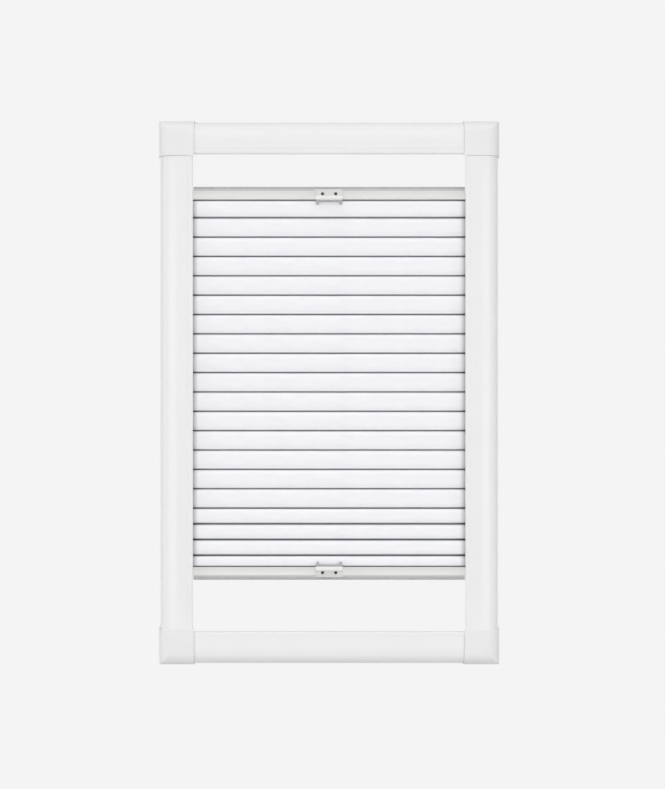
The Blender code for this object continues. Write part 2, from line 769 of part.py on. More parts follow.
def make_handle_screws(rail):
    shelf = RAIL_DEPTH / 2 + FIT_GAP + HANDLE_PLATE - HANDLE_SCREW_RECESS + FIT_GAP
    profile = [
        (HANDLE_SCREW_TIP, 0),
        (HANDLE_SCREW_RADIUS, HANDLE_SCREW_POINT),
        (HANDLE_SCREW_RADIUS, HANDLE_SCREW_LENGTH),
        (HANDLE_SCREW_HEAD, HANDLE_SCREW_LENGTH),
        (HANDLE_SCREW_CROWN, HANDLE_SCREW_LENGTH + HANDLE_SCREW_HEAD_HEIGHT),
    ]
    screws = []
    for side, x in zip(("left", "right"), handle_screw_stations()):
        mesh_data = bmesh.new()
        base = rail.front(x, handle_screw_level(), shelf - HANDLE_SCREW_LENGTH)
        add_turned(mesh_data, profile, base, (0, -1, 0), 12)
        name = f"{rail.name}_handle_screw_{side}"
        screws.append(finish_mesh(name, mesh_data, SCREW_DARK))
    return screws


# Fabric cells are drawn as (p, q): p across the depth, q up from the cell's lower seam.


def cell_heights():
    heights = [FIRST_CELL] + [OPEN_CELL] * OPEN_CELLS
    return heights + [LOW_CELL] * LOW_CELLS + [LAST_CELL]


def free_bulge(height):
    """A cell that is less drawn out bulges further, as far as the channels leave room."""
    return CELL_BULGE + BULGE_GAIN * (OPEN_CELL - height)


def cell_side(height, bulge, wall):
    """One side of a cell, from the lower glued strip out over the bulge to the upper one."""
    half = height / 2 - wall
    points = []
    for step in range(CELL_STEPS + 1):
        angle = math.pi * step / CELL_STEPS
        out = GLUE_HALF - wall + bulge * math.sin(angle) ** CELL_ROUNDNESS
        lift = abs(math.cos(angle)) ** CELL_ROUNDNESS
        up = half - half * math.copysign(lift, math.cos(angle))
        points.append((out, wall + up))
    return points


def cell_outline(height, wall=0.0):
    side = cell_side(height, free_bulge(height), wall)
    return side + [(-p, q) for p, q in reversed(side)]


def hooked_outline(height, wall=0.0):
    """An end cell's outline: its glued strip is a head in the rail's slot, on a neck through the mouth."""
    neck = SLOT_MOUTH / 2 - FIT_GAP - wall
    head = SLOT_WIDTH / 2 - 2 * FIT_GAP - wall
    shelf = height + FIT_GAP + SLOT_LIP + FIT_GAP + wall
    crest = height + FIT_GAP + SLOT_LIP + SLOT_HEIGHT - FIT_GAP - wall
    side = cell_side(height, END_BULGE, wall)[:-1]
    side += [(neck, height - wall), (neck, shelf), (head, shelf), (head, crest)]
    return side + [(-p, q) for p, q in reversed(side)]


def make_cells(top_rail):
    reach = HALF_WIDTH + RAIL_INSET - CELL_END_CLEARANCE
    upper = top_rail.fabric_side - FIT_GAP
    heights = cell_heights()
    for i, pitch in enumerate(heights):
        last = i == len(heights) - 1
        height = pitch if last else pitch - FIT_GAP
        lower = upper - height
        if i == 0:
            loops = [hooked_outline(height), hooked_outline(height, CELL_WALL)]
            place = upwards_from(lower)
        elif last:
            loops = [hooked_outline(height), hooked_outline(height, CELL_WALL)]
            place = downwards_from(upper)
        else:
            loops = [cell_outline(height), cell_outline(height, CELL_WALL)]
            place = upwards_from(lower)
        name = f"cell_{i + 1:02d}"
        cell = prism(name, loops, -reach, reach, place, FABRIC, smooth=True)
        carry(name + "_axis", (0, MIDDLE_Y, (upper + lower) / 2), [cell])
        upper = lower - FIT_GAP


def upwards_from(level):
    return lambda p, q, along: (along, MIDDLE_Y + p, level + q)


def downwards_from(level):
    return lambda p, q, along: (along, MIDDLE_Y + p, level - q)


def make_rail_set(rail):
    pieces = [make_rail(rail), make_seal(rail), make_shoe(rail, "left"), make_shoe(rail, "right")]
    pieces += make_rail_cords(rail)
    pieces += [make_spring(rail), make_fabric_strip(rail), make_handle(rail)]
    pieces += make_handle_screws(rail)
    carry(rail.name + "_rail_axis", (0, MIDDLE_Y, rail.fabric_side), pieces)


def main():
    clear_scene()
    make_bars()
    make_corners()
    make_guide_cords()
    top_rail = RailPlace("top", TOP_RAIL_FABRIC, 1)
    fabric_length = sum(cell_heights()) + 2 * FIT_GAP
    bottom_rail = RailPlace("bottom", TOP_RAIL_FABRIC - fabric_length, -1)
    make_rail_set(top_rail)
    make_rail_set(bottom_rail)
    make_cells(top_rail)


main()
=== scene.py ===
import math

import bmesh
import bpy
from mathutils import Matrix, Vector, noise


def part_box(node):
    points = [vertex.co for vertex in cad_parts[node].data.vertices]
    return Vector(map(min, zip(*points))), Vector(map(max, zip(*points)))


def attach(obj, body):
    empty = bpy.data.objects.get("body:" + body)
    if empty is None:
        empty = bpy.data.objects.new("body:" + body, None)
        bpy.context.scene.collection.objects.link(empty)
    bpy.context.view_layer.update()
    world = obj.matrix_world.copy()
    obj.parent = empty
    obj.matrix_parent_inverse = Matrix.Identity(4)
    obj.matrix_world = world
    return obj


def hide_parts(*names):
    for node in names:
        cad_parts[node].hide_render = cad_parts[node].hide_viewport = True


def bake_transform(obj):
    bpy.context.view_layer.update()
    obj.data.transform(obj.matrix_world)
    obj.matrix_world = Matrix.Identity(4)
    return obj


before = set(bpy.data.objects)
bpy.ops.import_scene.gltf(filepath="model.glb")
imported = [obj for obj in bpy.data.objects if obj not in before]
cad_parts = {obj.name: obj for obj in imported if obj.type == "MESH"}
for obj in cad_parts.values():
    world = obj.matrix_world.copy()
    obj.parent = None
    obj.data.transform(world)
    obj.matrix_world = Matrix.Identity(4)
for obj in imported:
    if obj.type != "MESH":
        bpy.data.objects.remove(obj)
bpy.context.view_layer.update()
print("CAD frame loaded:", len(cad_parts), "nodes")

mm = 0.001
scene = bpy.context.scene
scene.view_settings.view_transform = "Standard"


# Camera: level, on the photograph's axis, far enough back for its mild perspective

cameraSettings = {
    "distance": 1.85,
    "sideways": 0.0042,
    "height": -0.3220,
    "lens": 67.53,
    "sensor": 36,
}


def setCamera(settings):
    camera = bpy.data.objects.new("camera", bpy.data.cameras.new("camera"))
    scene.collection.objects.link(camera)
    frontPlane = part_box("left_bar")[0].y
    camera.location = (settings["sideways"], frontPlane - settings["distance"], settings["height"])
    camera.rotation_euler = (math.radians(90), 0, 0)
    camera.data.lens = settings["lens"]
    camera.data.sensor_width = settings["sensor"]
    scene.camera = camera


setCamera(cameraSettings)


# Node and colour helpers


def hexColour(code):
    # sRGB hex, turned to the linear values that the shader reads
    parts = [int(code[i : i + 2], 16) / 255 for i in (1, 3, 5)]
    linear = [p / 12.92 if p <= 0.04045 else ((p + 0.055) / 1.055) ** 2.4 for p in parts]
    return (*linear, 1.0)


def addNode(tree, kind, inputs=None, **settings):
    # one node with its settings and links; an input is a value, or a socket to link from
    node = tree.nodes.new(kind)
    for name, value in settings.items():
        setattr(node, name, value)
    for key, value in (inputs or {}).items():
        if isinstance(value, bpy.types.NodeSocket):
            tree.links.new(value, node.inputs[key])
        else:
            node.inputs[key].default_value = value
    return node


def startMaterial(name):
    material = bpy.data.materials.new(name)
    material.use_nodes = True
    material.node_tree.nodes.clear()
    return material, material.node_tree


def endMaterial(material, surface):
    # the finished surface, shown on whatever wears the material
    tree = material.node_tree
    shader = addNode(tree, "ShaderNodeBsdfPrincipled", surface)
    addNode(tree, "ShaderNodeOutputMaterial", {"Surface": shader.outputs[0]})
    return material


def perMm(*sizes):
    # a Mapping scale that makes one step of the pattern this long, in all directions or along x, y and z
    return [1 / (size * mm) for size in (sizes * 3)[:3]]


# Materials


def extrudedPvc(name, along, pale, dark):
    # extruded white PVC-U: clean satin, with faint die lines along each bar that soften its highlights
    material, tree = startMaterial(name)
    place = addNode(tree, "ShaderNodeTexCoord").outputs["Object"]
    lineSizes = {"x": (160, 0.9, 0.9), "z": (0.9, 0.9, 160)}[along]
    long = addNode(tree, "ShaderNodeMapping", {"Vector": place, "Scale": perMm(*lineSizes)}).outputs[0]
    lines = addNode(tree, "ShaderNodeTexNoise", {"Vector": long, "Scale": 1, "Detail": 4}).outputs["Fac"]
    broad = addNode(tree, "ShaderNodeMapping", {"Vector": place, "Scale": perMm(55)}).outputs[0]
    clouds = addNode(tree, "ShaderNodeTexNoise", {"Vector": broad, "Scale": 1, "Detail": 3}).outputs["Fac"]
    colours = {"Factor": clouds, "A": hexColour(dark), "B": hexColour(pale)}
    tone = addNode(tree, "ShaderNodeMix", colours, data_type="RGBA")
    spread = {"Value": lines, "From Min": 0.3, "From Max": 0.7, "To Min": 0.14, "To Max": 0.22}
    rough = addNode(tree, "ShaderNodeMapRange", spread)
    bump = addNode(tree, "ShaderNodeBump", {"Height": lines, "Strength": 0.5, "Distance": 0.01 * mm})
    surface = {
        "Base Color": tone.outputs["Result"],
        "Roughness": rough.outputs["Result"],
        "Normal": bump.outputs[0],
        "IOR": 1.53,
    }
    return endMaterial(material, surface)


mouldedFinishes = {
    # white ABS caps: the fine spark-eroded grain of the tool's face, flatter in sheen than the bars
    "cap": {
        "grain": {"Detail": 5, "Roughness": 0.6},
        "grainSize": 0.8,
        "cloudSize": 30,
        "rough": (0.4, 0.5),
        "relief": 0.02,
        "shader": {"IOR": 1.54},
    },
    # grey ABS handles: smooth and fairly glossy, with the faint flow clouds of a small part
    "handle": {
        "grain": {"Detail": 4},
        "grainSize": 0.5,
        "cloudSize": 9,
        "rough": (0.2, 0.28),
        "relief": 0.012,
        "shader": {"IOR": 1.54},
    },
    # white nylon for hidden running parts: slightly creamy and waxy, with a fine grain
    "nylon": {
        "grain": {"Detail": 4},
        "grainSize": 0.7,
        "cloudSize": 12,
        "rough": (0.4, 0.55),
        "relief": 0.015,
        "shader": {"IOR": 1.53, "Subsurface Weight": 0.08, "Subsurface Scale": 1.5 * mm},
    },
}


def mouldedPlastic(name, finish, dark, pale):
    # injection moulded: the tool's grain over the plastic's own faint clouds
    material, tree = startMaterial(name)
    place = addNode(tree, "ShaderNodeTexCoord").outputs["Object"]
    grainScale, cloudScale = perMm(finish["grainSize"]), perMm(finish["cloudSize"])
    fine = addNode(tree, "ShaderNodeMapping", {"Vector": place, "Scale": grainScale}).outputs[0]
    grit = {"Vector": fine, "Scale": 1, **finish["grain"]}
    grain = addNode(tree, "ShaderNodeTexNoise", grit).outputs["Fac"]
    broad = addNode(tree, "ShaderNodeMapping", {"Vector": place, "Scale": cloudScale}).outputs[0]
    clouds = addNode(tree, "ShaderNodeTexNoise", {"Vector": broad, "Scale": 1, "Detail": 3}).outputs["Fac"]
    colours = {"Factor": clouds, "A": hexColour(dark), "B": hexColour(pale)}
    tone = addNode(tree, "ShaderNodeMix", colours, data_type="RGBA")
    low, high = finish["rough"]
    spread = {"Value": grain, "From Min": 0.3, "From Max": 0.7, "To Min": low, "To Max": high}
    rough = addNode(tree, "ShaderNodeMapRange", spread)
    relief = {"Height": grain, "Strength": 0.5, "Distance": finish["relief"] * mm}
    bump = addNode(tree, "ShaderNodeBump", relief)
    surface = {
        "Base Color": tone.outputs["Result"],
        "Roughness": rough.outputs["Result"],
        "Normal": bump.outputs[0],
        **finish["shader"],
    }
    return endMaterial(material, surface)


def spunbondFabric():
    # spunbond polyester, thermally bonded: soft matt white with a cool tint, fibres and rows of bond points
    material, tree = startMaterial("spunbondPolyester")
    cloth = addNode(tree, "ShaderNodeUVMap", uv_map="clothMap").outputs[0]
    layers = []
    for turn in (0.35, -0.6):
        drawn = {"Vector": cloth, "Rotation": (0, 0, turn), "Scale": perMm(6, 0.35, 1)}
        fibres = addNode(tree, "ShaderNodeMapping", drawn).outputs[0]
        strands = {"Vector": fibres, "Scale": 1, "Detail": 4}
        layers.append(addNode(tree, "ShaderNodeTexNoise", strands).outputs["Fac"])
    felt = addNode(tree, "ShaderNodeMath", {0: layers[0], 1: layers[1]}, operation="MULTIPLY").outputs[0]
    # bond points every 1.3 mm, a little deeper than the real 0.02 mm so that they show
    drawn = {"Vector": cloth, "Rotation": (0, 0, 0.785), "Scale": perMm(1.3)}
    rows = addNode(tree, "ShaderNodeMapping", drawn).outputs[0]
    points = addNode(tree, "ShaderNodeTexVoronoi", {"Vector": rows, "Scale": 1, "Randomness": 0})
    spread = {"Value": points.outputs["Distance"], "From Min": 0.12, "From Max": 0.34}
    dimples = addNode(tree, "ShaderNodeMapRange", spread).outputs["Result"]
    raised = {0: dimples, 1: 0.6, 2: felt}
    relief = addNode(tree, "ShaderNodeMath", raised, operation="MULTIPLY_ADD").outputs[0]
    broad = addNode(tree, "ShaderNodeMapping", {"Vector": cloth, "Scale": perMm(25, 9, 1)}).outputs[0]
    clouds = addNode(tree, "ShaderNodeTexNoise", {"Vector": broad, "Scale": 1, "Detail": 3}).outputs["Fac"]
    mixed = {0: felt, 1: 1.2, 2: clouds}
    cloudy = addNode(tree, "ShaderNodeMath", mixed, operation="MULTIPLY_ADD").outputs[0]
    spread = {"Value": cloudy, "From Min": 0.5, "From Max": 1.1}
    patches = addNode(tree, "ShaderNodeMapRange", spread).outputs["Result"]
    colours = {"Factor": patches, "A": hexColour("#F1F1F5"), "B": hexColour("#F7F7FA")}
    tone = addNode(tree, "ShaderNodeMix", colours, data_type="RGBA")
    # painted shade: the cloth is darker towards its cut ends, where the side channels shade it
    fromEnd = addNode(tree, "ShaderNodeAttribute", attribute_name="fromEnd").outputs["Fac"]
    reach = {"Value": fromEnd, "From Min": 0, "From Max": 11 * mm}
    endShadeFade = addNode(tree, "ShaderNodeMapRange", reach, interpolation_type="SMOOTHERSTEP").outputs["Result"]
    wearAndEndShade = {"Factor": endShadeFade, "A": hexColour("#B2B2B7"), "B": tone.outputs["Result"]}
    tone = addNode(tree, "ShaderNodeMix", wearAndEndShade, data_type="RGBA")
    # painted shade in the seam grooves, darkest near the cut ends where the side channels shade them
    fromSeam = addNode(tree, "ShaderNodeAttribute", attribute_name="fromSeam").outputs["Fac"]
    reach = {"Value": fromSeam, "From Min": 0.1 * mm, "From Max": 1.2 * mm}
    clear = addNode(tree, "ShaderNodeMapRange", reach, interpolation_type="SMOOTHSTEP").outputs["Result"]
    reach = {"Value": fromEnd, "From Min": 0, "From Max": 20 * mm}
    inwards = addNode(tree, "ShaderNodeMapRange", reach, interpolation_type="SMOOTHSTEP").outputs["Result"]
    seamShadeColours = {"Factor": inwards, "A": hexColour("#37373D"), "B": hexColour("#7C7C83")}
    glueAndPaintedShade = addNode(tree, "ShaderNodeMix", seamShadeColours, data_type="RGBA")
    seamShadeMix = {"Factor": clear, "A": glueAndPaintedShade.outputs["Result"], "B": tone.outputs["Result"]}
    seamShaded = addNode(tree, "ShaderNodeMix", seamShadeMix, data_type="RGBA")
    spread = {"Value": felt, "From Min": 0.1, "From Max": 0.4, "To Min": 0.82, "To Max": 0.95}
    rough = addNode(tree, "ShaderNodeMapRange", spread)
    bump = addNode(tree, "ShaderNodeBump", {"Height": relief, "Strength": 0.35, "Distance": 0.05 * mm})
    surface = {
        "Base Color": seamShaded.outputs["Result"],
        "Roughness": rough.outputs["Result"],
        "Normal": bump.outputs[0],
        "IOR": 1.5,
        "Specular IOR Level": 0.25,
        "Sheen Weight": 0.12,
        "Sheen Roughness": 0.6,
    }
    return endMaterial(material, surface)


def coatedRail():
    # powder-coated aluminium extrusion: pale grey satin, a fine orange peel over lengthwise die lines
    material, tree = startMaterial("powderCoatedAluminium")
    place = addNode(tree, "ShaderNodeTexCoord").outputs["Object"]
    fine = addNode(tree, "ShaderNodeMapping", {"Vector": place, "Scale": perMm(1.1)}).outputs[0]
    peel = addNode(tree, "ShaderNodeTexNoise", {"Vector": fine, "Scale": 1, "Detail": 2}).outputs["Fac"]
    long = addNode(tree, "ShaderNodeMapping", {"Vector": place, "Scale": perMm(220, 0.7, 0.7)}).outputs[0]
    lines = addNode(tree, "ShaderNodeTexNoise", {"Vector": long, "Scale": 1, "Detail": 3}).outputs["Fac"]
    mixed = {0: lines, 1: 0.7, 2: peel}
    both = addNode(tree, "ShaderNodeMath", mixed, operation="MULTIPLY_ADD").outputs[0]
    colours = {"Factor": lines, "A": hexColour("#DBDBD9"), "B": hexColour("#E6E6E5")}
    tone = addNode(tree, "ShaderNodeMix", colours, data_type="RGBA")
    spread = {"Value": both, "From Min": 0.5, "From Max": 1.2, "To Min": 0.36, "To Max": 0.46}
    rough = addNode(tree, "ShaderNodeMapRange", spread)
    bump = addNode(tree, "ShaderNodeBump", {"Height": both, "Strength": 0.4, "Distance": 0.012 * mm})
    surface = {
        "Base Color": tone.outputs["Result"],
        "Roughness": rough.outputs["Result"],
        "Normal": bump.outputs[0],
        "IOR": 1.5,
    }
    return endMaterial(material, surface)


def sealBacking():
    # extruded polypropylene backing of the seal: plain mid grey, dull, with fine draw lines
    material, tree = startMaterial("polypropyleneBacking")
    place = addNode(tree, "ShaderNodeTexCoord").outputs["Object"]
    long = addNode(tree, "ShaderNodeMapping", {"Vector": place, "Scale": perMm(80, 0.6, 0.6)}).outputs[0]
    lines = addNode(tree, "ShaderNodeTexNoise", {"Vector": long, "Scale": 1, "Detail": 3}).outputs["Fac"]
    colours = {"Factor": lines, "A": hexColour("#C2C2C1"), "B": hexColour("#CECECD")}
    tone = addNode(tree, "ShaderNodeMix", colours, data_type="RGBA")
    spread = {"Value": lines, "From Min": 0.3, "From Max": 0.7, "To Min": 0.5, "To Max": 0.62}
    rough = addNode(tree, "ShaderNodeMapRange", spread)
    bump = addNode(tree, "ShaderNodeBump", {"Height": lines, "Strength": 0.5, "Distance": 0.02 * mm})
    surface = {
        "Base Color": tone.outputs["Result"],
        "Roughness": rough.outputs["Result"],
        "Normal": bump.outputs[0],
        "IOR": 1.49,
    }
    return endMaterial(material, surface)


def pileSeal():
    # woven polypropylene pile: dense grey bristles that stand across the gap and break up the light
    material, tree = startMaterial("wovenPileSeal")
    place = addNode(tree, "ShaderNodeTexCoord").outputs["Object"]
    upright = addNode(tree, "ShaderNodeMapping", {"Vector": place, "Scale": perMm(0.45, 2.5, 6)}).outputs[0]
    bristles = {"Vector": upright, "Scale": 1, "Detail": 4, "Roughness": 0.65}
    tufts = addNode(tree, "ShaderNodeTexNoise", bristles).outputs["Fac"]
    broad = addNode(tree, "ShaderNodeMapping", {"Vector": place, "Scale": perMm(9, 9, 20)}).outputs[0]
    patches = addNode(tree, "ShaderNodeTexNoise", {"Vector": broad, "Scale": 1, "Detail": 3}).outputs["Fac"]
    mixed = {0: patches, 1: 0.4, 2: tufts}
    both = addNode(tree, "ShaderNodeMath", mixed, operation="MULTIPLY_ADD").outputs[0]
    spread = {"Value": both, "From Min": 0.45, "From Max": 0.95}
    pale = addNode(tree, "ShaderNodeMapRange", spread).outputs["Result"]
    colours = {"Factor": pale, "A": hexColour("#A8A8A8"), "B": hexColour("#C8C8C7")}
    tone = addNode(tree, "ShaderNodeMix", colours, data_type="RGBA")
    bump = addNode(tree, "ShaderNodeBump", {"Height": tufts, "Strength": 0.6, "Distance": 0.25 * mm})
    surface = {
        "Base Color": tone.outputs["Result"],
        "Roughness": 0.92,
        "Normal": bump.outputs[0],
        "IOR": 1.49,
        "Sheen Weight": 0.2,
    }
    return endMaterial(material, surface)


def blackenedScrew():
    # black-zinc steel: dark and slightly shiny, greyer where the driver has rubbed it
    material, tree = startMaterial("blackZincSteel")
    place = addNode(tree, "ShaderNodeTexCoord").outputs["Object"]
    fine = addNode(tree, "ShaderNodeMapping", {"Vector": place, "Scale": perMm(0.6)}).outputs[0]
    wear = addNode(tree, "ShaderNodeTexNoise", {"Vector": fine, "Scale": 1, "Detail": 5}).outputs["Fac"]
    spread = {"Value": wear, "From Min": 0.45, "From Max": 0.75}
    wearAndEndShade = addNode(tree, "ShaderNodeMapRange", spread).outputs["Result"]
    colours = {"Factor": wearAndEndShade, "A": hexColour("#484847"), "B": hexColour("#72726E")}
    tone = addNode(tree, "ShaderNodeMix", colours, data_type="RGBA")
    spread = {"Value": wear, "From Min": 0.3, "From Max": 0.7, "To Min": 0.35, "To Max": 0.55}
    rough = addNode(tree, "ShaderNodeMapRange", spread)
    bump = addNode(tree, "ShaderNodeBump", {"Height": wear, "Strength": 0.4, "Distance": 0.01 * mm})
    surface = {
        "Base Color": tone.outputs["Result"],
        "Roughness": rough.outputs["Result"],
        "Normal": bump.outputs[0],
        "Metallic": 0.75,
    }
    return endMaterial(material, surface)


def braidedCord(along):
    # braided polyester cord, about 1 mm thick: plaits in two directions every 1.4 mm, matt in the valleys
    # and darker there with painted shade
    material, tree = startMaterial("braidedPolyester_" + along)
    place = addNode(tree, "ShaderNodeTexCoord").outputs["Object"]
    pitch = {"x": (1.4, 0.8, 0.8), "z": (0.8, 0.8, 1.4)}[along]
    plaits = addNode(tree, "ShaderNodeMapping", {"Vector": place, "Scale": perMm(*pitch)}).outputs[0]
    waves = []
    for scale in (0.31, 0.42):
        wave = {"Vector": plaits, "Scale": scale, "Distortion": 0.6}
        waves.append(addNode(tree, "ShaderNodeTexWave", wave, bands_direction="DIAGONAL").outputs["Fac"])
    plait = addNode(tree, "ShaderNodeMath", {0: waves[0], 1: waves[1]}, operation="MAXIMUM").outputs[0]
    # painted shade: the valleys between the plaits are darker
    colours = {"Factor": plait, "A": hexColour("#D2D2CE"), "B": hexColour("#F0F0EC")}
    tone = addNode(tree, "ShaderNodeMix", colours, data_type="RGBA")
    rough = addNode(tree, "ShaderNodeMapRange", {"Value": plait, "To Min": 0.8, "To Max": 0.6})
    bump = addNode(tree, "ShaderNodeBump", {"Height": plait, "Strength": 0.6, "Distance": 0.08 * mm})
    surface = {
        "Base Color": tone.outputs["Result"],
        "Roughness": rough.outputs["Result"],
        "Normal": bump.outputs[0],
        "IOR": 1.55,
    }
    return endMaterial(material, surface)


def drawnWire():
    # drawn spring steel: bright, with fine lengthwise drawing marks
    material, tree = startMaterial("drawnSpringSteel")
    place = addNode(tree, "ShaderNodeTexCoord").outputs["Object"]
    fine = addNode(tree, "ShaderNodeMapping", {"Vector": place, "Scale": perMm(0.25, 0.9, 0.9)}).outputs[0]
    marks = addNode(tree, "ShaderNodeTexNoise", {"Vector": fine, "Scale": 1, "Detail": 3}).outputs["Fac"]
    colours = {"Factor": marks, "A": hexColour("#B9BABB"), "B": hexColour("#D0D1D2")}
    tone = addNode(tree, "ShaderNodeMix", colours, data_type="RGBA")
    spread = {"Value": marks, "From Min": 0.3, "From Max": 0.7, "To Min": 0.22, "To Max": 0.36}
    rough = addNode(tree, "ShaderNodeMapRange", spread)
    surface = {
        "Base Color": tone.outputs["Result"],
        "Roughness": rough.outputs["Result"],
        "Metallic": 1.0,
    }
    return endMaterial(material, surface)


def stripPlastic():
    # extruded polyester strip: milky white, glossy from the die
    material, tree = startMaterial("extrudedPolyesterStrip")
    place = addNode(tree, "ShaderNodeTexCoord").outputs["Object"]
    long = addNode(tree, "ShaderNodeMapping", {"Vector": place, "Scale": perMm(90, 0.8, 0.8)}).outputs[0]
    lines = addNode(tree, "ShaderNodeTexNoise", {"Vector": long, "Scale": 1, "Detail": 2}).outputs["Fac"]
    colours = {"Factor": lines, "A": hexColour("#E2E3E3"), "B": hexColour("#ECEDED")}
    tone = addNode(tree, "ShaderNodeMix", colours, data_type="RGBA")
    spread = {"Value": lines, "From Min": 0.3, "From Max": 0.7, "To Min": 0.25, "To Max": 0.35}
    rough = addNode(tree, "ShaderNodeMapRange", spread)
    surface = {
        "Base Color": tone.outputs["Result"],
        "Roughness": rough.outputs["Result"],
        "IOR": 1.57,
    }
    return endMaterial(material, surface)


pvc = {along: extrudedPvc("extrudedPvc_" + along, along, "#ECECEC", "#E9E9E9") for along in "xz"}
capAbs = mouldedPlastic("mouldedCapAbs", mouldedFinishes["cap"], "#E6E6E5", "#E9E9E9")
cloth = spunbondFabric()
railCoat = coatedRail()
backing = sealBacking()
pile = pileSeal()
handleAbs = mouldedPlastic("mouldedHandleAbs", mouldedFinishes["handle"], "#D2D1CF", "#DADAD8")
# the ledge's paler copy of the handle plastic is a painted highlight
ledgeHighlightAbs = mouldedPlastic("paintedHighlightHandleAbs", mouldedFinishes["handle"], "#E6E6E4", "#ECECEB")
# the prongs' darker copy of the handle plastic is painted shade
prongShadeAbs = mouldedPlastic("paintedShadeProngAbs", mouldedFinishes["handle"], "#A6A6A7", "#B0B0B0")
screwBlack = blackenedScrew()
nylon = mouldedPlastic("mouldedNylon", mouldedFinishes["nylon"], "#E6E6E2", "#EDEDEA")
cordBraid = {"x": braidedCord("x"), "z": braidedCord("z")}
wire = drawnWire()
strip = stripPlastic()
print("materials made")


# Mesh helpers

mergeWithin = 0.05 * mm


def addPoints(bm, corners):
    # points in the local XY plane, from corners in mm
    return [bm.verts.new((c[0] * mm, c[1] * mm, 0)) for c in corners]


def addChain(bm, corners):
    # a chain of straight edges
    points = addPoints(bm, corners)
    for one, other in zip(points, points[1:]):
        bm.edges.new((one, other))
    return points


def roundOff(bm, parts, size, steps, affect="VERTICES", measure="OFFSET"):
    # rounds points or edges; the size is in metres, or in percent with that measure
    bmesh.ops.bevel(
        bm,
        geom=parts,
        offset=size,
        offset_type=measure,
        affect=affect,
        segments=steps,
        profile=0.5,
        material=-1,
    )


def mirrored(corners):
    # an outline from its near half and the mirror image of it
    return corners + [(-c[0], *c[1:]) for c in reversed(corners)]


def drawFace(bm, corners, steps=4):
    # a flat face; a third number rounds that corner by so many mm
    points = addPoints(bm, corners)
    bm.faces.new(points)
    for point, c in zip(points, corners):
        if len(c) > 2:
            roundOff(bm, [point], c[2] * mm, steps)


def grownParts(grown, kind=bmesh.types.BMVert):
    # the new parts of one kind that an extrusion gives
    return [part for part in grown["geom"] if isinstance(part, kind)]


def drawOut(bm, length):
    # the flat faces, drawn out along local z into a solid
    grown = bmesh.ops.extrude_face_region(bm, geom=bm.faces[:], use_keep_orig=True)
    bmesh.ops.translate(bm, verts=grownParts(grown), vec=(0, 0, length))
    bmesh.ops.recalc_face_normals(bm, faces=bm.faces[:])


def standing(origin, across, depth, along):
    # the matrix that takes local x, y and z to three directions from a point
    turn = Matrix((Vector(across), Vector(depth), Vector(along))).transposed().to_4x4()
    return Matrix.Translation(origin) @ turn


def putInPlace(bm, matrix):
    bmesh.ops.transform(bm, matrix=matrix, verts=bm.verts[:])
    if matrix.to_3x3().determinant() < 0:
        bmesh.ops.reverse_faces(bm, faces=bm.faces[:])


def newMesh(name, bm, angle=35):
    mesh = bpy.data.meshes.new(name)
    bm.to_mesh(mesh)
    bm.free()
    mesh.shade_smooth()
    mesh.set_sharp_from_angle(angle=math.radians(angle))
    piece = bpy.data.objects.new(name, mesh)
    scene.collection.objects.link(piece)
    return piece


def addBevel(piece, width, limit=50):
    soften = piece.modifiers.new("soften", "BEVEL")
    soften.width = width * mm
    soften.segments = 2
    soften.limit_method = "ANGLE"
    soften.angle_limit = math.radians(limit)
    soften.harden_normals = True


def combine(piece, bm, operation):
    # another closed shape joined to the piece or cut out of it, with the result applied
    tool = newMesh("tool", bm)
    for material in piece.data.materials:
        tool.data.materials.append(material)
    change = piece.modifiers.new("change", "BOOLEAN")
    change.object = tool
    change.operation = operation
    change.solver = "EXACT"
    shaped = piece.evaluated_get(bpy.context.evaluated_depsgraph_get())
    mesh = bpy.data.meshes.new_from_object(shaped)
    piece.modifiers.clear()
    piece.data = mesh
    bpy.data.objects.remove(tool, do_unlink=True)


def finishPiece(piece, materials, body, replaced):
    for material in materials:
        piece.data.materials.append(material)
    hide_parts(*replaced)
    if body:
        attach(piece, body)


# Frame bars. A section is drawn with x from the outer side inwards and y back from the crown.

barSizes = {
    "face": 42.8,
    "depth": 30,
    "roundWidth": 14.5,
    "roundDepth": 22,
    "roundSteps": 18,
    "crownSet": 0.75,
    "crownTurn": (20, 5.4),
    "groove": {"place": 36.8, "depth": 0.4, "sides": (1.0, 0.8), "rounds": (0.4, 0.5)},
    "bead": 2.6,
    "beadSet": 0.1,
    "channel": (25.3, 3.6, 26.4),
    "backReach": 37.8,
    "edge": 0.3,
    "outerEdge": 0.5,
    "settled": 0.3,
}


def drawRound(bm, square, steps, percent=99.9):
    # the square corner becomes the outer side's quarter ellipse, and its ends merge with their neighbours
    roundOff(bm, [square], percent, steps, measure="PERCENT")
    bmesh.ops.remove_doubles(bm, verts=bm.verts[:], dist=mergeWithin)


def drawBarSection(bm, sizes):
    floor, front, back = sizes["channel"]
    crown, turn = sizes["crownTurn"]
    groove, edge, beadSet = sizes["groove"], sizes["edge"], sizes["beadSet"]
    outerRound, innerRound = groove["rounds"]
    corners = [
        (0, sizes["depth"], sizes["outerEdge"]),
        (0, sizes["roundDepth"]),
        (0, sizes["crownSet"]),
        (sizes["roundWidth"], sizes["crownSet"]),
        (crown, 0, turn),
        (groove["place"] - groove["sides"][0], 0, outerRound),
        (groove["place"], groove["depth"]),
        (groove["place"] + groove["sides"][1], beadSet, innerRound),
        (sizes["face"], beadSet, sizes["bead"]),
        (sizes["face"], front, edge),
        (floor, front),
        (floor, back),
        (sizes["backReach"], back, edge),
        (sizes["backReach"], sizes["depth"], edge),
    ]
    drawFace(bm, corners)
    square = min(bm.verts, key=lambda v: v.co.x + v.co.y)
    drawRound(bm, square, sizes["roundSteps"])


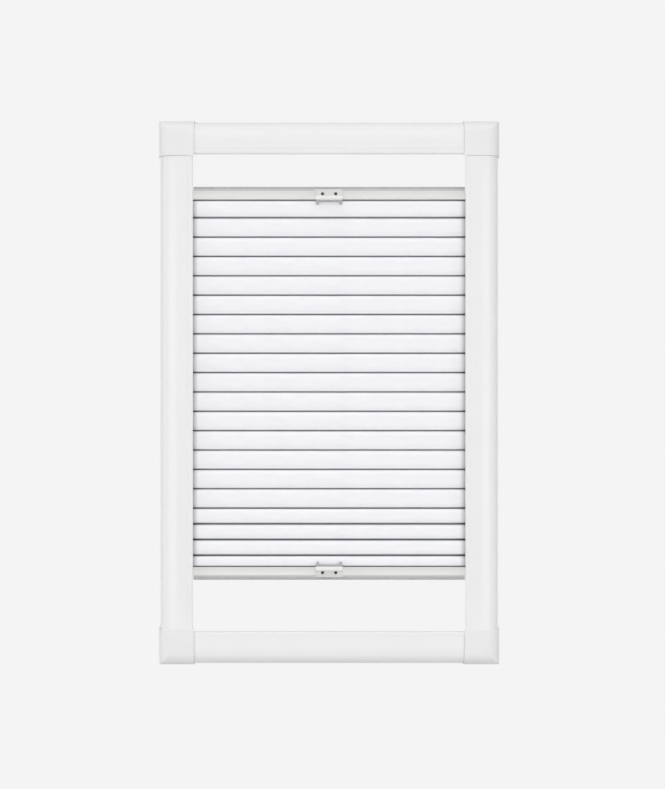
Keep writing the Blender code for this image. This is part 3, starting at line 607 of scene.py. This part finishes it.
def makeBar(side, sizes):
    name = side + "_bar"
    low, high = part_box(name)
    upright = side in ("left", "right")
    along = (0, 0, 1) if upright else (1, 0, 0)
    across = {"left": (1, 0, 0), "right": (-1, 0, 0), "top": (0, 0, -1), "bottom": (0, 0, 1)}[side]
    start = Vector((high.x if side == "right" else low.x, low.y, high.z if side == "top" else low.z))
    length = high.z - low.z if upright else high.x - low.x
    if upright:
        # the upright bars' weight closes their lower joints, and leaves the fitting gap at the upper ones
        start.z -= sizes["settled"] * mm
        length += sizes["settled"] * mm
    bm = bmesh.new()
    drawBarSection(bm, sizes)
    drawOut(bm, length)
    putInPlace(bm, standing(start, across, (0, 1, 0), along))
    piece = newMesh("frame_" + name, bm)
    finishPiece(piece, [pvc["z" if upright else "x"]], "frame", [name])


for side in ("left", "right", "top", "bottom"):
    makeBar(side, barSizes)
print("bars made")


# Corner caps: the bar's outer shape carried round the corner, with a soft mitre crease

capSizes = {
    "proud": 1.5,
    "frontProud": 0.5,
    "reach": 44.3,
    "back": 29.5,
    "wall": 2,
    "creaseRound": 0.8,
    "creaseSteps": 3,
    "edgeRound": 0.45,
    "near": 0.1,
}


def drawCap(bm, sizes):
    # the profile at the end of one leg, as a chain: x across the leg, y depth
    roundWidth, roundDepth = barSizes["roundWidth"], barSizes["roundDepth"]
    proud, front, near = sizes["proud"], -sizes["frontProud"], sizes["near"]
    drawFace(bm, [(-proud, front), (roundWidth, front), (roundWidth, roundDepth), (-proud, roundDepth)])
    square = min(bm.verts, key=lambda v: v.co.x + v.co.y)
    drawRound(bm, square, barSizes["roundSteps"])
    inner = [v for v in bm.verts if v.co.x > (roundWidth - near) * mm and v.co.y > roundDepth / 2 * mm]
    bmesh.ops.delete(bm, geom=inner, context="VERTS")
    ends = sorted((v for v in bm.verts if len(v.link_edges) == 1), key=lambda v: v.co.x)
    for end, place in zip(ends, [(-proud, sizes["back"]), (sizes["reach"], front)]):
        grown = bmesh.ops.extrude_vert_indiv(bm, verts=[end])["verts"][0]
        grown.co = Vector((*place, 0)) * mm
    # the leg runs along local z up to the mitre, and the second leg goes on from there
    bmesh.ops.translate(bm, verts=bm.verts[:], vec=(0, 0, sizes["reach"] * mm))
    toMitre = Matrix(((1, 0, 0, 0), (0, 1, 0, 0), (1, 0, 0, 0), (0, 0, 0, 1)))
    toEnd = Matrix(((0, 0, 0, sizes["reach"] * mm), (0, 1, 0, 0), (0, 0, 1, 0), (0, 0, 0, 1)))
    edges = bm.edges[:]
    mitre = None
    for matrix in (toMitre, toEnd):
        grown = bmesh.ops.extrude_edge_only(bm, edges=edges)
        bmesh.ops.transform(bm, matrix=matrix, verts=grownParts(grown))
        edges = grownParts(grown, bmesh.types.BMEdge)
        mitre = mitre or edges
    rounded = [edge for edge in mitre if max(v.co.x for v in edge.verts) < (roundWidth + near) * mm]
    roundOff(bm, rounded, sizes["creaseRound"] * mm, sizes["creaseSteps"], affect="EDGES")
    bmesh.ops.remove_doubles(bm, verts=bm.verts[:], dist=mergeWithin)
    bmesh.ops.recalc_face_normals(bm, faces=bm.faces[:])


def makeCap(level, side, sizes):
    name = f"corner_cap_{level}_{side}"
    low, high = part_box(name)
    proud = sizes["proud"]
    bm = bmesh.new()
    drawCap(bm, sizes)
    x = low.x + proud * mm if side == "left" else high.x - proud * mm
    z = high.z - proud * mm if level == "top" else low.z + proud * mm
    across = (0, 0, -1) if level == "top" else (0, 0, 1)
    along = (1, 0, 0) if side == "left" else (-1, 0, 0)
    putInPlace(bm, standing((x, low.y + sizes["frontProud"] * mm, z), across, (0, 1, 0), along))
    facing = min(bm.faces, key=lambda f: f.calc_center_median().y)
    if facing.normal.y > 0:
        bmesh.ops.reverse_faces(bm, faces=bm.faces[:])
    piece = newMesh("cap_" + level + "_" + side, bm, angle=40)
    shell = piece.modifiers.new("wall", "SOLIDIFY")
    shell.thickness = sizes["wall"] * mm
    shell.offset = -1
    shell.use_even_offset = True
    addBevel(piece, sizes["edgeRound"], limit=60)
    finishPiece(piece, [capAbs], "frame", [name])


for level in ("top", "bottom"):
    for side in ("left", "right"):
        makeCap(level, side, capSizes)
print("corner caps made")


# Rails and seals. A rail's section has x towards the room and y from the fabric outwards.

railSizes = {
    "height": 10.8,
    "halfDepth": 9.5,
    "edge": 0.5,
    "mouth": 3.5,
    "mouthRound": 0.3,
    "slot": 6.6,
    "slotLip": 1.2,
    "slotRoof": 3.8,
    "sealSeat": (6.8, 0.8, 0.2),
    "panel": (1.5, 9.3, 0.2),
    "panelSlope": 0.3,
    "steps": 3,
}

sealSizes = {
    "halfWidth": 6.5,
    "foot": 0.5,
    "footRound": 0.2,
    "backing": 2.6,
    "backingRound": 0.3,
    "step": 0.5,
    "height": 5.8,
    "round": 1.9,
    "steps": 6,
}


def railMatrix(rail, alongFrom):
    # for pieces drawn in the rail's section and drawn out along the rail
    low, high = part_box(rail + "_rail")
    up = rail == "top"
    base = low.z if up else high.z
    origin = (alongFrom, (low.y + high.y) / 2, base)
    return standing(origin, (0, -1, 0), (0, 0, 1 if up else -1), (1, 0, 0))


def makeRail(rail, sizes):
    name = rail + "_rail"
    half, height, edge = sizes["halfDepth"], sizes["height"], sizes["edge"]
    seat, seatDepth, seatRound = sizes["sealSeat"]
    panelLow, panelHigh, panelDepth = sizes["panel"]
    slope = sizes["panelSlope"]
    roomSide = [
        (sizes["slot"], sizes["slotRoof"]),
        (sizes["slot"], sizes["slotLip"]),
        (sizes["mouth"], sizes["slotLip"]),
        (sizes["mouth"], 0, sizes["mouthRound"]),
        (half, 0, edge),
        (half, panelLow - slope),
        (half - panelDepth, panelLow),
        (half - panelDepth, panelHigh),
        (half, panelHigh + slope),
        (half, height, edge),
        (seat, height, seatRound),
        (seat, height - seatDepth),
    ]
    bm = bmesh.new()
    drawFace(bm, mirrored(roomSide), sizes["steps"])
    low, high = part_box(name)
    drawOut(bm, high.x - low.x)
    putInPlace(bm, railMatrix(rail, low.x))
    piece = newMesh("rail_" + rail, bm)
    finishPiece(piece, [railCoat], name, [name])


def makeSeal(rail, sizes):
    half, step, top = sizes["halfWidth"], sizes["step"], sizes["height"]
    roomSide = [
        (half, -sizes["foot"], sizes["footRound"]),
        (half, sizes["backing"], sizes["backingRound"]),
        (half - step, sizes["backing"]),
        (half - step, top, sizes["round"]),
    ]
    bm = bmesh.new()
    drawFace(bm, mirrored(roomSide), sizes["steps"])
    low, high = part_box(rail + "_seal")
    drawOut(bm, high.x - low.x)
    for face in bm.faces:
        face.material_index = 1 if face.calc_center_median().y > sizes["backing"] * mm else 0
    putInPlace(bm, railMatrix(rail, low.x) @ Matrix.Translation((0, railSizes["height"] * mm, 0)))
    piece = newMesh("seal_" + rail, bm)
    finishPiece(piece, [backing, pile], rail + "_rail", [rail + "_seal"])


for rail in ("top", "bottom"):
    makeRail(rail, railSizes)
    makeSeal(rail, sealSizes)
print("rails and seals made")


# Handles: a plate with a rounded finger ledge and two gusseted prongs, and its two sunk screws

handleSizes = {
    "width": 34.4,
    "back": 9.8,
    "plate": 2.0,
    "low": -1.0,
    "high": 12.7,
    "ledge": (4.2, 5.6, 2.0),
    "fillet": 1.2,
    "footRound": 0.3,
    "headRounds": (0.7, 0.2),
    "steps": 6,
    "highlightFrom": 0.5,
    "lip": -2.5,
    "prong": {
        "inset": 0.8,
        "overlap": 1,
        "tip": -7.0,
        "tipRound": 0.6,
        "width": 4.1,
        "taper": 0.8,
        "gusset": 2.6,
        "gussetRounds": (1.0, 0.8),
        "thickness": 1.8,
        "place": 11.35,
    },
    "edge": 0.35,
    "screwSpacing": 16.5,
    "screwLevel": 6.85,
    "recess": (2.15, 1.3),
    "recessSteps": 32,
}

screwSizes = {
    "radius": 1.8,
    "height": 0.9,
    # the head's outline, as shares of its radius and height
    "head": [(0.7, 1), (0.95, 0.6), (1, 0.25), (0.97, 0)],
    "shank": 1.0,
    "length": 4.8,
    "point": 0.8,
    "steps": 28,
    "cross": (1.05, 0.25, 0.65),
    "crossTurn": 0.4,
}


def drawProngs(sizes, rail):
    # both prongs and the lip between them, drawn as one flat shape along the rail
    prong, lip = sizes["prong"], sizes["lip"]
    half = sizes["width"] / 2 - prong["inset"]
    root, top = half - prong["width"], sizes["low"] + prong["overlap"]
    lowRound, highRound = prong["gussetRounds"]
    right = [
        (half, top),
        (half - prong["taper"] / 2, prong["tip"], prong["tipRound"]),
        (root + prong["taper"], prong["tip"], prong["tipRound"]),
        (root, lip - prong["gusset"] / 2, lowRound),
        (root - prong["gusset"], lip, highRound),
    ]
    bm = bmesh.new()
    drawFace(bm, mirrored(right))
    drawOut(bm, prong["thickness"] * mm)
    # painted shade: the prongs and the lip take the darker copy of the handle plastic
    for face in bm.faces:
        face.material_index = 1
    # local x runs along the rail, y is the section's y, and the thickness is towards the room
    toSection = standing((prong["place"] * mm, 0, 0), (0, 0, 1), (0, 1, 0), (1, 0, 0))
    putInPlace(bm, railMatrix(rail, 0) @ toSection)
    return bm


def makeHandle(rail, sizes):
    back, plate, low, high = sizes["back"], sizes["plate"], sizes["low"], sizes["high"]
    front = back + plate
    reach, ledge, ledgeRound = sizes["ledge"]
    frontRound, backRound = sizes["headRounds"]
    corners = [
        (back, low, sizes["footRound"]),
        (front + reach, low, ledgeRound),
        (front + reach, low + ledge, ledgeRound),
        (front, low + ledge, sizes["fillet"]),
        (front, high, frontRound),
        (back, high, backRound),
    ]
    half = sizes["width"] / 2 * mm
    bm = bmesh.new()
    drawFace(bm, corners, sizes["steps"])
    drawOut(bm, 2 * half)
    # painted highlight: the ledge's long faces are paler than the plate and than the ledge's own two ends
    for face in bm.faces:
        alongLedge = abs(face.normal.z) < 0.5
        if alongLedge and face.calc_center_median().x > (front + sizes["highlightFrom"]) * mm:
            face.material_index = 2
    putInPlace(bm, railMatrix(rail, -half))
    piece = newMesh("handle_" + rail, bm)
    # the plate's own grey, the prongs' painted shade and the ledge's painted highlight
    for material in (handleAbs, prongShadeAbs, ledgeHighlightAbs):
        piece.data.materials.append(material)
    combine(piece, drawProngs(sizes, rail), "UNION")
    holes = bmesh.new()
    radius, deep = sizes["recess"]
    turn = Matrix.Rotation(math.pi / 2, 4, "Y")
    for sign in (-1, 1):
        place = Vector((front, sizes["screwLevel"], sign * sizes["screwSpacing"] / 2)) * mm
        bmesh.ops.create_cone(
            holes,
            cap_ends=True,
            radius1=radius * mm,
            radius2=radius * mm,
            depth=2 * deep * mm,
            segments=sizes["recessSteps"],
            matrix=railMatrix(rail, 0) @ Matrix.Translation(place) @ turn,
        )
    bmesh.ops.recalc_face_normals(holes, faces=holes.faces[:])
    combine(piece, holes, "DIFFERENCE")
    addBevel(piece, sizes["edge"])
    finishPiece(piece, [], rail + "_rail", [rail + "_handle"])


def makeScrew(rail, side, sizes):
    node = f"{rail}_handle_screw_{side}"
    low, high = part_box(node)
    radius, height, shank, length = sizes["radius"], sizes["height"], sizes["shank"], sizes["length"]
    bm = bmesh.new()
    head = [(radius * across, height * up) for across, up in sizes["head"]]
    chain = addChain(bm, [(0, height), *head, (shank, 0), (shank, -length + sizes["point"]), (0, -length)])
    # the profile stands in the XZ plane before it is spun about local z
    bmesh.ops.rotate(bm, verts=chain, cent=(0, 0, 0), matrix=Matrix.Rotation(math.pi / 2, 3, "X"))
    bmesh.ops.spin(
        bm,
        geom=bm.verts[:] + bm.edges[:],
        cent=(0, 0, 0),
        axis=(0, 0, 1),
        angle=2 * math.pi,
        steps=sizes["steps"],
        use_merge=True,
    )
    bmesh.ops.remove_doubles(bm, verts=bm.verts[:], dist=0.01 * mm)
    bmesh.ops.recalc_face_normals(bm, faces=bm.faces[:])
    headTop = Vector(((low.x + high.x) / 2, low.y, (low.z + high.z) / 2))
    place = standing(headTop + Vector((0, height * mm, 0)), (1, 0, 0), (0, 0, 1), (0, -1, 0))
    putInPlace(bm, place)
    piece = newMesh("screw_" + rail + "_" + side, bm)
    # the cross recess: one arm's corners, turned a quarter at a time
    reach, half, deep = sizes["cross"]
    arm = [(reach, -half), (reach, half), (half, half)]
    corners = []
    for _ in range(4):
        corners += arm
        arm = [(-y, x) for x, y in arm]
    recess = bmesh.new()
    drawFace(recess, corners)
    drawOut(recess, 2 * deep * mm)
    sunk = Matrix.Translation((0, 0, (height - deep) * mm))
    putInPlace(recess, place @ sunk @ Matrix.Rotation(sizes["crossTurn"], 4, "Z"))
    combine(piece, recess, "DIFFERENCE")
    finishPiece(piece, [screwBlack], rail + "_rail", [node])


for rail in ("top", "bottom"):
    makeHandle(rail, handleSizes)
    for side in ("left", "right"):
        makeScrew(rail, side, screwSizes)
print("handles and screws made")


# Fabric cells. Each cell is one strip glued into a tube; it spreads and closes between its two seams.

cellSizes = {
    "cells": 20,
    "upperCells": 8,
    "glueLine": 0.3,
    "glueHalf": 3.5,
    "glueMargin": 0.5,
    # the reach of the painted seam shade, above a seam and below the top rail
    "seamShadeRise": 0.6,
    "railSeamShadeRise": 0.45,
    "leastOpen": 0.84,
    "bulge": 6.3,
    "bulgeGain": 0.25,
    "endBulge": 7.0,
    "openHeight": 24.3,
    "roundness": 0.72,
    "points": 22,
    "cutGap": 1.2,
    "stations": 86,
    "ripple": 0.18,
    "rippleLength": 45,
    "rippleShift": 0.3,
    "edgeShare": 0.0104,
    "closedEnd": 7.0,
    "closedTravel": {"top_rail": 160, "bottom_rail": 222},
    "head": [(3.2, -0.4), (3.2, 1.8), (6.0, 1.8), (6.0, 3.7)],
    "tail": [(3.3, 0.4), (3.3, -1.4)],
}


def seamHeights(sizes):
    # the seams' heights from the top one down, read from the CAD cells
    cells = [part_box(f"cell_{i:02d}") for i in range(1, sizes["cells"] + 1)]
    middles = [(above[0].z + below[1].z) / 2 for above, below in zip(cells, cells[1:])]
    glueAndPaintedShade = sizes["glueLine"] * mm
    return [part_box("top_rail")[0].z - glueAndPaintedShade, *middles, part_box("bottom_rail")[1].z + glueAndPaintedShade]


def travelShares(pitches, travel, sizes):
    # each cell's share of its rail's travel, from the fixed seam to the rail
    ends = [pitches[0] - sizes["closedEnd"] * mm, pitches[-1] - sizes["closedEnd"] * mm]
    middleRoom = travel * mm - sum(ends)
    closed = (sum(pitches[1:-1]) - middleRoom) / (len(pitches) - 2)
    rooms = [ends[0], *[pitch - closed for pitch in pitches[1:-1]], ends[1]]
    return [(1 - 2 * sizes["edgeShare"]) * room / sum(rooms) for room in rooms]


def tubeSection(pitch, bulge, sizes):
    # the strip's way round the tube, between its cut edges under the glue of the cell below
    near = [(sizes["cutGap"], -pitch / 2)]
    for i in range(sizes["points"] + 1):
        turn = math.pi * i / sizes["points"]
        reach = sizes["glueHalf"] + bulge * math.sin(turn) ** sizes["roundness"]
        lift = math.copysign(abs(math.cos(turn)) ** sizes["roundness"], -math.cos(turn)) * pitch / 2
        near.append((reach, lift))
    return mirrored(near)


def foldedSection(corners, rise, direction):
    # one side of a fold and its mirror image, from a seam at this height
    return mirrored([(x, rise + direction * y) for x, y in corners])


def drawCell(bm, number, pitch, length, sizes):
    # the cloth about the cell's middle, with x across, y upwards and z along the rails; gives its cut width
    first, last = number == 1, number == sizes["cells"]
    bulge = sizes["bulge"] + sizes["bulgeGain"] * (sizes["openHeight"] - pitch)
    if first or last:
        bulge = sizes["endBulge"]
    wayRound = bm.verts.layers.float.new("wayRound")
    fromSeam = bm.verts.layers.float.new("fromSeam")
    fromEnd = bm.verts.layers.float.new("fromEnd")
    chains = [tubeSection(pitch, bulge, sizes)]
    if first:
        chains.append(foldedSection(sizes["head"], pitch / 2, 1))
    elif last:
        chains.append(foldedSection(sizes["head"], -pitch / 2, -1))
    elif number == sizes["upperCells"]:
        chains.append(foldedSection(sizes["tail"], -pitch / 2, 1))
    cutWidth = 0
    for chain in chains:
        points = addChain(bm, chain)
        way = 0
        for v, following in zip(points, points[1:]):
            way += (following.co - v.co).length
            following[wayRound] = way
        cutWidth += way
    edges = bm.edges[:]
    for _ in range(sizes["stations"]):
        grown = bmesh.ops.extrude_edge_only(bm, edges=edges)
        bmesh.ops.translate(bm, verts=grownParts(grown), vec=(0, 0, length / sizes["stations"]))
        edges = grownParts(grown, bmesh.types.BMEdge)
    # how far each place is from its nearest seam and its nearest cut end, for the painted shade there
    # the painted seam shade reaches further above a seam than below it, and further on a cell that is less
    # open next to the two rails its reach is set on its own
    opened = max(pitch / sizes["openHeight"], sizes["leastOpen"]) ** 2
    belowTop = sizes["railSeamShadeRise"] if first else opened
    aboveFoot = sizes["seamShadeRise"] * (1 if last else opened)
    for v in bm.verts:
        v[fromSeam] = min(belowTop * (pitch / 2 * mm - v.co.y), aboveFoot * (pitch / 2 * mm + v.co.y))
        v[fromEnd] = min(v.co.z, length - v.co.z)
    clothMap = bm.loops.layers.uv.new("clothMap")
    for face in bm.faces:
        for loop in face.loops:
            loop[clothMap].uv = (loop.vert.co.z, loop.vert[wayRound])
    # cut fabric never lies dead flat: a slight ripple in its bulge
    for v in bm.verts:
        if abs(v.co.x) > (sizes["glueHalf"] + sizes["glueMargin"]) * mm:
            place = Vector((v.co.z, v.co.y, number * sizes["rippleShift"])) / (sizes["rippleLength"] * mm)
            v.co.x += math.copysign(noise.noise(place) * sizes["ripple"] * mm, v.co.x)
    bmesh.ops.recalc_face_normals(bm, faces=bm.faces[:])
    return cutWidth


def makeCell(number, upper, lower, sizes):
    node = f"cell_{number:02d}"
    low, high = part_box(node)
    bm = bmesh.new()
    cutWidth = drawCell(bm, number, (upper - lower) / mm, high.x - low.x, sizes)
    middle = Vector((low.x, (low.y + high.y) / 2, (upper + lower) / 2))
    putInPlace(bm, standing(middle, (0, -1, 0), (0, 0, 1), (1, 0, 0)))
    piece = newMesh("fabric_" + node, bm, angle=80)
    finishPiece(piece, [cloth], None, [node])
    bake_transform(piece)
    print(node, "cut width in mm:", cutWidth / mm)


def makeCells(sizes):
    seams = seamHeights(sizes)
    pitches = [above - below for above, below in zip(seams, seams[1:])]
    split = sizes["upperCells"]
    groups = {
        "top_rail": list(range(split - 1, -1, -1)),
        "bottom_rail": list(range(split, len(pitches))),
    }
    for rail, members in groups.items():
        shares = travelShares([pitches[i] for i in members], sizes["closedTravel"][rail], sizes)
        weight = sizes["edgeShare"]
        for i, share in zip(members, shares):
            makeCell(i + 1, seams[i], seams[i + 1], sizes)
            weight += share


makeCells(cellSizes)
print("fabric cells made")


# The CAD nodes that already have their shape take better materials

carriedOver = {
    "corner_joint": nylon,
    "shoe": nylon,
    "guide_cord": cordBraid["z"],
    "_cord_": cordBraid["x"],
    "rail_spring": wire,
    "fabric_strip": strip,
}

for name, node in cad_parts.items():
    for part, material in carriedOver.items():
        if part in name and not node.hide_render:
            node.data.materials.clear()
            node.data.materials.append(material)
            break


# Lights, floor and background: soft boxes that draw the bars' highlights, and wide fills that only light

lightSettings = {
    "world": 0.125,
    "background": "#F4F4F4",
    "floorColour": "#F0F0F0",
    "floorRadius": 1.0,
    "floorLevel": -1.1,
    "floorFade": (0.3, 0.95, 0.6),
    "aim": (0, 0, -0.32),
    "boxes": {
        "left": {"place": (-0.75, -1.8, -0.32), "size": (0.4, 1.2), "power": 2.7},
        "right": {"place": (0.75, -1.8, -0.32), "size": (0.4, 1.2), "power": 2.6},
        "upper": {"place": (0.0, -1.7, 0.63), "size": (1.2, 0.15), "power": 1.4},
        "lower": {"place": (0.0, -1.8, -1.07), "size": (1.2, 0.4), "power": 1.8},
    },
    "fills": {
        "front": {"place": (0.0, -2.2, -0.1), "size": (1.0, 1.0), "power": 14.5},
        "above": {"place": (0.0, -0.7, 1.6), "size": (1.6, 1.0), "power": 12.1},
        "sideLeft": {"place": (-1.9, -0.7, -0.32), "size": (1.0, 1.6), "power": 11.9},
        "sideRight": {"place": (1.9, -0.7, -0.32), "size": (1.0, 1.6), "power": 14.4},
        "rimLeft": {"place": (-2.0, -0.1, -0.1), "size": (1.0, 1.6), "power": 6.6},
        "rimUpper": {"place": (0.0, -0.1, 1.7), "size": (1.6, 1.0), "power": 6.2},
        "backLeft": {"place": (-0.9, 2.0, -0.8), "size": (1.0, 0.5), "power": 2.3, "spread": 50},
        "backRight": {"place": (0.9, 2.0, -0.8), "size": (1.0, 0.5), "power": 2.0, "spread": 50},
    },
}


def seenRays(tree):
    # 1 for rays that show a thing, straight or mirrored, and 0 for rays that light with it
    path = addNode(tree, "ShaderNodeLightPath")
    seen = path.outputs["Is Camera Ray"]
    for other in ("Is Glossy Ray", "Is Transmission Ray"):
        either = {0: seen, 1: path.outputs[other]}
        seen = addNode(tree, "ShaderNodeMath", either, operation="MAXIMUM").outputs[0]
    return seen


def setWorld(settings):
    world = bpy.data.worlds.new("studio")
    world.use_nodes = True
    tree = world.node_tree
    tree.nodes.clear()
    seen = seenRays(tree)
    around = addNode(tree, "ShaderNodeBackground", {"Color": (1, 1, 1, 1), "Strength": settings["world"]})
    plain = {"Color": hexColour(settings["background"]), "Strength": 1.0}
    backdrop = addNode(tree, "ShaderNodeBackground", plain)
    mix = addNode(tree, "ShaderNodeMixShader", {0: seen, 1: around.outputs[0], 2: backdrop.outputs[0]})
    addNode(tree, "ShaderNodeOutputWorld", {"Surface": mix.outputs[0]})
    scene.world = world


def addSoftBox(name, settings, target, seenInGloss):
    light = bpy.data.lights.new(name, "AREA")
    light.shape = "RECTANGLE"
    light.size, light.size_y = settings["size"]
    light.energy = settings["power"]
    if "spread" in settings:
        # the back lights keep off the floor
        light.spread = math.radians(settings["spread"])
    lamp = bpy.data.objects.new(name, light)
    scene.collection.objects.link(lamp)
    lamp.location = settings["place"]
    lamp.visible_glossy = seenInGloss
    lamp.visible_camera = False
    lamp.rotation_euler = (Vector(target) - lamp.location).to_track_quat("-Z", "Y").to_euler()


def makeFloor(settings):
    # a pale floor that keeps the shadow and fades into the backdrop before its edge
    bm = bmesh.new()
    bmesh.ops.create_circle(bm, cap_ends=True, radius=settings["floorRadius"], segments=64)
    bmesh.ops.translate(bm, verts=bm.verts[:], vec=(0, 0, settings["floorLevel"]))
    floor = newMesh("floor", bm)
    material, tree = startMaterial("paintedFloor")
    place = addNode(tree, "ShaderNodeTexCoord").outputs["Object"]
    flat = addNode(tree, "ShaderNodeMapping", {"Vector": place, "Scale": (1, 1, 0)}).outputs[0]
    away = addNode(tree, "ShaderNodeVectorMath", {0: flat}, operation="LENGTH").outputs["Value"]
    near, far, least = settings["floorFade"]
    spread = {"Value": away, "From Min": near, "From Max": far, "To Min": least, "To Max": 1}
    fade = addNode(tree, "ShaderNodeMapRange", spread, interpolation_type="SMOOTHSTEP").outputs["Result"]
    share = addNode(tree, "ShaderNodeMath", {0: fade, 1: seenRays(tree)}, operation="MULTIPLY").outputs[0]
    paint = {"Base Color": hexColour(settings["floorColour"]), "Roughness": 0.9}
    lit = addNode(tree, "ShaderNodeBsdfPrincipled", paint)
    plain = {"Color": hexColour(settings["background"]), "Strength": 1.0}
    shown = addNode(tree, "ShaderNodeEmission", plain)
    mix = addNode(tree, "ShaderNodeMixShader", {0: share, 1: lit.outputs[0], 2: shown.outputs[0]})
    addNode(tree, "ShaderNodeOutputMaterial", {"Surface": mix.outputs[0]})
    floor.data.materials.append(material)


setWorld(lightSettings)
for group in ("boxes", "fills"):
    for name, box in lightSettings[group].items():
        # the fills' reflections would draw bright lines down the rounded sides
        addSoftBox(name, box, lightSettings["aim"], group == "boxes")
makeFloor(lightSettings)
print("studio made")
